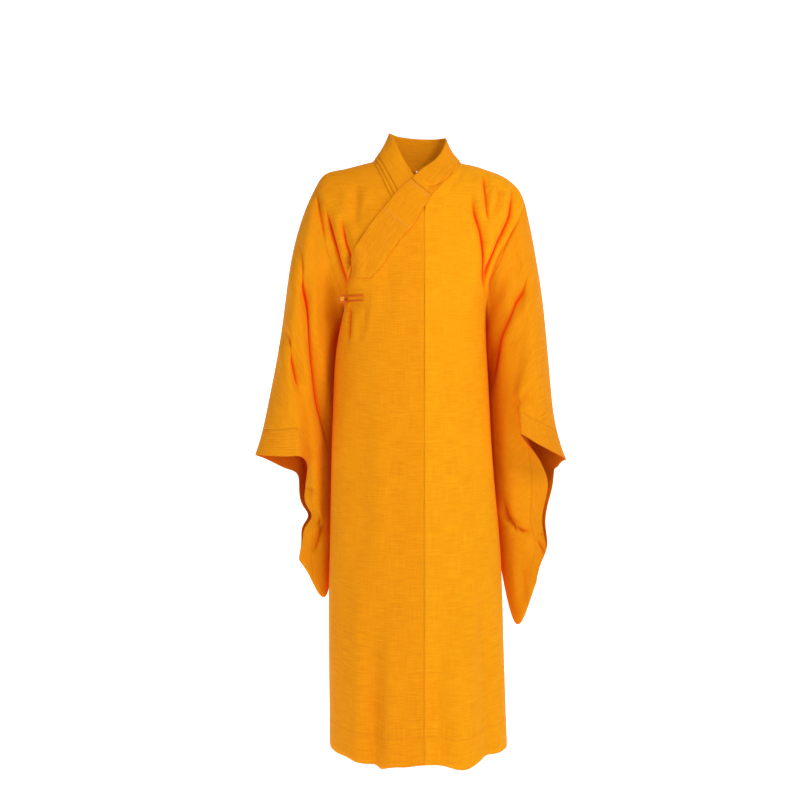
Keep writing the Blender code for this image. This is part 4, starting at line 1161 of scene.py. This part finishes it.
def overlap_point(u, v):
    """The crossing panel: u from the centre front to its free edge, v as on the body panels."""
    if v > 1.0:
        w = v - 1.0
        x, z = patch_point(
            lambda share: np.array(overlap_point(share, 1.0))[[0, 2]],
            lambda share: along(OVERLAP_TOP, share),
            lambda share: along(OVERLAP_FRONT, share),
            lambda share: along(OVERLAP_DIAGONAL, share),
            u,
            w,
        )
        return np.array((x, surface_y(x, z, FRONT), z))
    level = HEM_SIDE_Z + (UNDERARM_Z - HEM_SIDE_Z) * v
    half, depth = body_size(level, FRONT, 1, 0)
    start = section_angle(CENTRE_FRONT_X, half)
    keys = [row[0] for row in OVERLAP_SIDE_Y]
    side_y = flow(keys, [row[1] for row in OVERLAP_SIDE_Y], level)
    end = math.pi - math.asin((side_y / depth) ** (ROUNDNESS / 2.0))
    angle = start + (end - start) * u
    z = hem_height(angle) + (UNDERARM_Z - hem_height(angle)) * v
    return section_point(angle, z, FRONT, 0)


def add_overlap(material):
    rough = bmesh.new()
    shares = spread(0.0, 1.0, ACROSS + 1)
    skirt = [[overlap_point(u, v) for v in spread(0.0, 1.0, UP_SKIRT)] for u in shares]
    chest = [[overlap_point(u, v) for v in spread(1.0, 2.0, UP_OVERLAP)] for u in shares]
    add_sheet(rough, skirt, 0)
    add_sheet(rough, chest, 0, start_up=UNDERARM_Z - HEM_SIDE_Z)
    bmesh.ops.remove_doubles(rough, verts=rough.verts, dist=SAME_POINT)
    sheet = creased_sheet(rough, (-0.08, -0.11, -0.6), CLOTH_LEVELS)
    add_cut_piece("front_overlap", sheet, material, body_thickness)


def collar_point(share, part):
    """share runs along the band, part goes from 0 at its top edge to 1 at its base."""
    keys = np.arange(len(COLLAR_STATIONS), dtype=float)
    place = share * (len(COLLAR_STATIONS) - 1)
    lie = flow(keys, [s.lie for s in COLLAR_STATIONS], place)
    top = flow(keys, [s.top for s in COLLAR_STATIONS], place)
    bases = []
    for index, station in enumerate(COLLAR_STATIONS):
        x, z = station.base
        under = 1 if index < 7 else 0
        bases.append((x, surface_y(x, z, station.face, under), z))
    base = flow(keys, bases, place)
    base[2] += COLLAR_LIFT * (1.0 - lie)
    point = top + (base - top) * part
    if lie > 0.0:
        under = 1 if place < 9 else 0
        lying = surface_y(point[0], point[2], FRONT, under)
        point[1] += (lying - point[1]) * lie
    return point


def collar_step(share):
    """Each layer's step beyond the one above it, as a part of the width."""
    wide = COLLAR_STEP / COLLAR_WIDTH
    narrow = COLLAR_LEFT_STEP / COLLAR_WIDTH
    return wide + (narrow - wide) * ease((share - STEP_NARROWS) / STEP_NARROWING)


def add_collar(material):
    """Three stepped layers that share one top edge, each a step narrower than the one below."""
    shares = spread(0.0, 1.0, COLLAR_LENGTHS * (len(COLLAR_STATIONS) - 1))
    rows = [(share, 0) for share in (0.0, 1 / 3, 2 / 3, 1.0)] + [(1.0, 1), (1.0, 2)]
    rough = bmesh.new()
    for strip, pair in enumerate(zip(rows, rows[1:])):
        columns = []
        for share in shares:
            step = collar_step(share)
            parts = [part * (1.0 - 2.0 * step) + steps * step for part, steps in pair]
            columns.append([collar_point(share, part) for part in parts])
        part, steps = pair[0]
        start_up = part * (COLLAR_WIDTH - 2.0 * COLLAR_STEP) + steps * COLLAR_STEP
        add_sheet(rough, columns, strip, start_up=start_up)
    bmesh.ops.remove_doubles(rough, verts=rough.verts, dist=SAME_POINT)
    band = creased_sheet(rough, (0.0, 0.050, 0.050), COLLAR_LEVELS, skirt=False)
    for layer, name in enumerate(("collar_under", "collar_middle", "collar_top")):
        sheet = band.copy()
        last = len(rows) - 2 - layer
        keep_faces(sheet, lambda own, last=last: own <= last)
        lift = CLOTH / 2 + SEAM_GAP + COLLAR_CLOTH / 2 + (COLLAR_CLOTH + SEAM_GAP) * layer
        add_cut_piece(name, sheet, material, lambda p: COLLAR_CLOTH, lift)
    band.free()


def lapel_point(share, across):
    x, z = along(LAPEL_OUTER, share) * (1.0 - across) + along(LAPEL_INNER, share) * across
    return np.array((x, surface_y(x, z, FRONT), z))


def add_lapel(material):
    rough = bmesh.new()
    shares = spread(0.0, 1.0, LAPEL_LENGTHS)
    add_sheet(rough, [[lapel_point(u, v) for v in spread(0.0, 1.0, LAPEL_ROWS)] for u in shares], 0)
    sheet = creased_sheet(rough, (-0.05, -0.10, -0.12), LAPEL_LEVELS)
    lift = CLOTH / 2 + SEAM_GAP + LAPEL_CLOTH / 2
    add_cut_piece("lapel_band", sheet, material, lambda p: LAPEL_CLOTH, lift)


def add_cord(name, points, radius, material, closed=False):
    """A round cord through the points, as a mesh."""
    curve = bpy.data.curves.new(name, "CURVE")
    curve.dimensions = "3D"
    curve.bevel_depth = radius
    curve.bevel_resolution = 3
    curve.resolution_u = 4
    curve.use_fill_caps = not closed
    spline = curve.splines.new("NURBS")
    spline.points.add(len(points) - 1)
    for spot, place in zip(spline.points, points):
        spot.co = (*place, 1.0)
    spline.order_u = 4
    spline.use_cyclic_u = closed
    spline.use_endpoint_u = not closed
    drawn = add_item(name, curve)
    mesh = bpy.data.meshes.new_from_object(drawn.evaluated_get(bpy.context.evaluated_depsgraph_get()))
    bpy.data.objects.remove(drawn)
    mesh.name = name
    mesh.materials.clear()
    mesh.shade_smooth()
    return add_piece(name, mesh, material)


def add_knot(material):
    """The knotted button: a cord woven over and under itself round a ball, and its stem."""
    turns = []
    for step in range(KNOT_STEPS):
        angle = 2.0 * math.pi * step / KNOT_STEPS
        lean = KNOT_SWING * math.sin(3.0 * angle)
        far = KNOT_RADIUS - KNOT_CORD_RADIUS * (1.0 + KNOT_WEAVE * math.cos(6.0 * angle + KNOT_WEAVE_START))
        level = math.cos(lean)
        turn = Vector((math.cos(2.0 * angle) * level, math.sin(lean), math.sin(2.0 * angle) * level))
        turns.append(KNOT_CENTRE + turn * far)
    knot = add_cord("knot_button_cord", turns, KNOT_CORD_RADIUS, material, closed=True)
    way = (STEM_END - KNOT_CENTRE).normalized()
    stem = [KNOT_CENTRE + way * far for far in spread(0.0, (STEM_END - KNOT_CENTRE).length, 6)]
    add_cord("knot_button_stem", stem, KNOT_CORD_RADIUS * STEM_THICKER, material)
    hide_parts("knot_button")


def loop_tail(mouth_x, z):
    """One of the loop's two ends, lying on the crossing panel and running to the button."""
    above = CLOTH / 2 + SEAM_GAP + LOOP_CORD_RADIUS * 1.1
    tail = []
    for step in range(LOOP_TAIL_STEPS):
        x = LOOP_TAIL_X + (mouth_x - LOOP_TAIL_X) * step / LOOP_TAIL_STEPS
        slope = (surface_y(x + SLOPE_STEP, z, FRONT) - surface_y(x, z, FRONT)) / SLOPE_STEP
        tail.append(Vector((x, surface_y(x, z, FRONT) - above * math.hypot(1.0, slope), z)))
    return tail


def add_loop(material):
    """The button's loop, along the crossing panel, round the button and back."""
    radius = KNOT_RADIUS * 1.06 + SEAM_GAP + LOOP_CORD_RADIUS
    rise = radius * math.sin(LOOP_MOUTH_ANGLE)
    mouth_x = KNOT_CENTRE.x + radius * math.cos(LOOP_MOUTH_ANGLE)
    bend = []
    for step in range(LOOP_ROUND_STEPS + 1):
        angle = LOOP_MOUTH_ANGLE + (2 * math.pi - 2 * LOOP_MOUTH_ANGLE) * step / LOOP_ROUND_STEPS
        bend.append(KNOT_CENTRE + radius * Vector((math.cos(angle), 0.0, math.sin(angle))))
    upper = loop_tail(mouth_x, KNOT_CENTRE.z + rise)
    lower = loop_tail(mouth_x, KNOT_CENTRE.z - rise)
    loop = add_cord("button_loop_cord", upper + bend + lower[::-1], LOOP_CORD_RADIUS, material)
    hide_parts("button_loop")


class Nodes:
    """Short calls for adding linked nodes to one material."""

    def __init__(self, name):
        self.material = bpy.data.materials.new(name)
        self.material.use_nodes = True
        self.tree = self.material.node_tree
        self.shader = self.tree.nodes["Principled BSDF"]

    def add(self, kind, inputs=None, **settings):
        node = self.tree.nodes.new(kind)
        for name, value in settings.items():
            setattr(node, name, value)
        for name, value in (inputs or {}).items():
            self.put(node.inputs[name], value)
        return node

    def put(self, socket, value):
        if isinstance(value, bpy.types.NodeSocket):
            self.tree.links.new(value, socket)
        else:
            socket.default_value = value

    def sum(self, operation, first, second=0.0):
        """One step of arithmetic on two numbers or sockets."""
        return self.add("ShaderNodeMath", {0: first, 1: second}, operation=operation).outputs[0]

    def times(self, first, second):
        return self.sum("MULTIPLY", first, second)

    def between(self, value, low, high, start, end):
        """value read from low..high as start..end, eased at both ends."""
        inputs = {"Value": value, "From Min": low, "From Max": high, "To Min": start, "To Max": end}
        return self.add("ShaderNodeMapRange", inputs, interpolation_type="SMOOTHSTEP").outputs["Result"]

    def mark(self, name):
        return self.add("ShaderNodeAttribute", attribute_name=name).outputs["Fac"]

    def blend(self, share, first, second, kind="MIX"):
        node = self.add("ShaderNodeMix", data_type="RGBA", blend_type=kind)
        self.put(node.inputs["Factor"], share)
        self.put(node.inputs["A"], first)
        self.put(node.inputs["B"], second)
        return node.outputs["Result"]


def threads(nodes, u, v, u_scale, v_scale, detail):
    """Uneven threads: noise drawn out along one way of the cut cloth."""
    u_part = nodes.times(u, u_scale)
    v_part = nodes.times(v, v_scale)
    place = nodes.add("ShaderNodeCombineXYZ", {"X": u_part, "Y": v_part}).outputs[0]
    inputs = {"Vector": place, "Scale": 1.0, "Detail": detail}
    return nodes.add("ShaderNodeTexNoise", inputs).outputs["Fac"]


def stitch_rows(nodes, across, along_rows, rows):
    """1 on the stitches of evenly spaced rows, and the groove that the rows draw in the cloth."""
    place = nodes.sum("DIVIDE", nodes.sum("SUBTRACT", across, rows.first), rows.pitch)
    nearest = nodes.sum("MINIMUM", nodes.sum("MAXIMUM", nodes.sum("ROUND", place), 0.0), rows.count - 1.0)
    off = nodes.times(nodes.sum("ABSOLUTE", nodes.sum("SUBTRACT", place, nearest)), rows.pitch)
    line = nodes.between(off, THREAD_WIDTH * 0.4, THREAD_WIDTH, 1.0, 0.0)
    groove = nodes.between(off, 0.0, GROOVE_WIDTH, 1.0, 0.0)
    after = nodes.sum("GREATER_THAN", along_rows, rows.start)
    inside = nodes.times(after, nodes.sum("LESS_THAN", along_rows, rows.end))
    beat = nodes.sum("FRACT", nodes.sum("DIVIDE", along_rows, STITCH_LENGTH))
    dash = nodes.between(nodes.sum("ABSOLUTE", nodes.sum("SUBTRACT", beat, 0.5)), 0.30, 0.42, 1.0, 0.0)
    return nodes.times(nodes.times(line, dash), inside), nodes.times(groove, inside)


def saffron_cloth(name, base=SAFFRON, rows=()):
    """Slubby plain weave in saffron, with the given rows of stitches."""
    nodes = Nodes(name)
    cut = nodes.add("ShaderNodeSeparateXYZ", {0: nodes.add("ShaderNodeUVMap", uv_map="UVMap").outputs[0]})
    u, v = cut.outputs["X"], cut.outputs["Y"]
    weft, warp, slubs, patches = (threads(nodes, u, v, *kind) for kind in (WEFT, WARP, SLUBS, PATCHES))
    both = nodes.sum("ADD", nodes.times(weft, WEFT_SHARE), nodes.times(warp, WARP_SHARE))
    light = nodes.between(both, 0.34, 0.66, 0.0, 1.0)
    colour = nodes.blend(light, tuple(base[0]), tuple(base[1]))
    colour = nodes.blend(nodes.between(slubs, 0.60, 0.74, 0.0, 0.35), colour, PALE_SLUB)
    colour = nodes.blend(nodes.between(patches, 0.35, 0.70, 0.0, 0.12), colour, tuple(base[1]))
    # Painted shade: creases, the gaps beside the sleeves and the sleeves' insides turn deep red
    colour = nodes.blend(nodes.between(nodes.mark("painted_shade"), 0.08, 0.9, 0.0, 0.95), colour, PAINTED_SHADE_SAFFRON)
    # Painted shade along the edges that show, fading out within 1.4 mm
    colour = nodes.blend(nodes.between(nodes.mark("edge"), 0.0, 0.0014, 0.22, 0.0), colour, SHADED_SAFFRON)
    over = nodes.sum("SINE", nodes.times(u, 2.0 * math.pi / WEAVE_PITCH))
    under = nodes.sum("SINE", nodes.times(v, 2.0 * math.pi / WEAVE_PITCH))
    weave = nodes.times(over, under)
    height = nodes.sum("ADD", nodes.times(both, 1.4), nodes.times(weave, 0.12))
    height = nodes.sum("ADD", height, nodes.times(patches, 0.7))
    height = nodes.sum("ADD", height, nodes.between(nodes.mark("edge"), 0.0, 0.003, -0.4, 0.0))
    for row in rows:
        across, along_rows = (v, u) if row.way == "v" else (u, v)
        stitch, groove = stitch_rows(nodes, across, along_rows, row)
        # Painted shade in the groove that each row of stitches draws
        colour = nodes.blend(nodes.times(groove, 0.30), colour, SHADED_SAFFRON)
        colour = nodes.blend(nodes.times(stitch, 0.55), colour, row.thread)
        height = nodes.sum("SUBTRACT", height, nodes.times(groove, 0.9))
    bump = nodes.add("ShaderNodeBump", {"Strength": 0.55, "Distance": 0.0011, "Height": height})
    nodes.put(nodes.shader.inputs["Base Color"], colour)
    nodes.put(nodes.shader.inputs["Normal"], bump.outputs[0])
    set_inputs(nodes.shader, CLOTH_SURFACE)
    return nodes.material


def cord_cloth(name, shade, light):
    """Rolled bias cloth, with a fine slanted thread."""
    nodes = Nodes(name)
    place = nodes.add("ShaderNodeTexCoord").outputs["Object"]
    slant = {"Vector": place, "Rotation": (0.6, 0.5, 0.8), "Scale": (900.0, 900.0, 900.0)}
    turned = nodes.add("ShaderNodeMapping", slant).outputs[0]
    wave = {"Vector": turned, "Scale": 0.7, "Distortion": 1.5}
    grain = nodes.add("ShaderNodeTexWave", wave).outputs["Fac"]
    colour = nodes.blend(grain, shade, light)
    bump = nodes.add("ShaderNodeBump", {"Strength": 0.5, "Distance": 0.0004, "Height": grain})
    nodes.put(nodes.shader.inputs["Base Color"], colour)
    nodes.put(nodes.shader.inputs["Normal"], bump.outputs[0])
    set_inputs(nodes.shader, CORD_SURFACE)
    return nodes.material


def add_stage():
    """A pale floor that rises behind into a pale wall, soft lights and the photograph's camera."""
    sweep = bmesh.new()
    grid = bmesh.ops.create_grid(sweep, x_segments=2, y_segments=32, size=0.5)
    for vert in grid["verts"]:
        share = vert.co.y + 0.5
        far = STAGE_NEAR + share * STAGE_LENGTH
        bend = min(max((far - STAGE_BEND) / (STAGE_RISE * math.pi / 2), 0.0), 1.0) * math.pi / 2
        past = max(far - STAGE_BEND - STAGE_RISE * math.pi / 2, 0.0)
        y = min(far, STAGE_BEND) + STAGE_RISE * math.sin(bend)
        z = FLOOR_Z + STAGE_RISE * (1.0 - math.cos(bend)) + past
        vert.co = Vector((vert.co.x * STAGE_WIDTH, y, z))
    for face in sweep.faces:
        face.smooth = True
    mesh = bpy.data.meshes.new("studio_sweep")
    sweep.to_mesh(mesh)
    sweep.free()
    paper = bpy.data.materials.new("pale studio paper")
    paper.use_nodes = True
    set_inputs(paper.node_tree.nodes["Principled BSDF"], PAPER_SURFACE)
    mesh.materials.append(paper)
    add_item("studio_sweep", mesh)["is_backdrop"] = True

    for lamp in LAMPS:
        light = bpy.data.lights.new(lamp.name, "AREA")
        light.shape = "RECTANGLE"
        light.size = lamp.width
        light.size_y = lamp.height
        light.energy = lamp.watts
        light.color = lamp.colour
        item = add_item(lamp.name, light)
        item.location = lamp.place
        way = Vector(lamp.aim) - Vector(lamp.place)
        item.rotation_euler = way.to_track_quat("-Z", "Y").to_euler()

    world = bpy.data.worlds.new("studio")
    world.use_nodes = True
    light = {"Color": (1.0, 1.0, 1.0, 1.0), "Strength": WORLD_STRENGTH}
    set_inputs(world.node_tree.nodes["Background"], light)
    bpy.context.scene.world = world
    bpy.context.scene.view_settings.view_transform = "Standard"

    lens = bpy.data.cameras.new("camera")
    lens.sensor_width = SENSOR_WIDTH
    lens.lens = SENSOR_WIDTH * -CAMERA_PLACE.y / FRAME_WIDTH
    camera = add_item("camera", lens)
    camera.location = CAMERA_PLACE
    camera.rotation_euler = (math.pi / 2, 0.0, 0.0)
    bpy.context.scene.camera = camera


def main():
    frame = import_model()
    cad_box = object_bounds()
    add_stage()
    plain = saffron_cloth("saffron cloth")
    # Painted light: the wearer's left front takes a lighter copy of the cloth, lit through its one layer
    lit_sheer = saffron_cloth("saffron cloth lit through one layer", base=LIT_SAFFRON, rows=[HEM_ROW])
    hemmed = saffron_cloth("hemmed saffron cloth", rows=[HEM_ROW])
    banded = saffron_cloth("stitched sleeve band", rows=[CUFF_ROWS])
    lapel_rows = [LAPEL_EDGE_ROW, LAPEL_ROWS_LONG, LAPEL_CROSS_ROW, LAPEL_END_ROW]
    lapel = saffron_cloth("stitched lapel", rows=lapel_rows)
    materials = {name: plain for name in frame["nodes"]}
    materials.update(front_left=lit_sheer, front_right=hemmed, back_left=hemmed, back_right=hemmed)
    materials.update(cuff_left=banded, cuff_right=banded)
    add_body_and_sleeves(materials)
    add_overlap(hemmed)
    add_collar(plain)
    add_lapel(lapel)
    add_knot(cord_cloth("saffron knot", KNOT_SHADE, PALE_SLUB))
    # The loop is painted in shade colours, darker than the knot, as a cord in shade
    add_loop(cord_cloth("saffron loop", CORD_SHADE, SHADED_SAFFRON))
    boxes = {"cad": cad_box, "visual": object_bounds()}
    sizes = {name: [list(corner) for corner in box] for name, box in boxes.items()}


main()
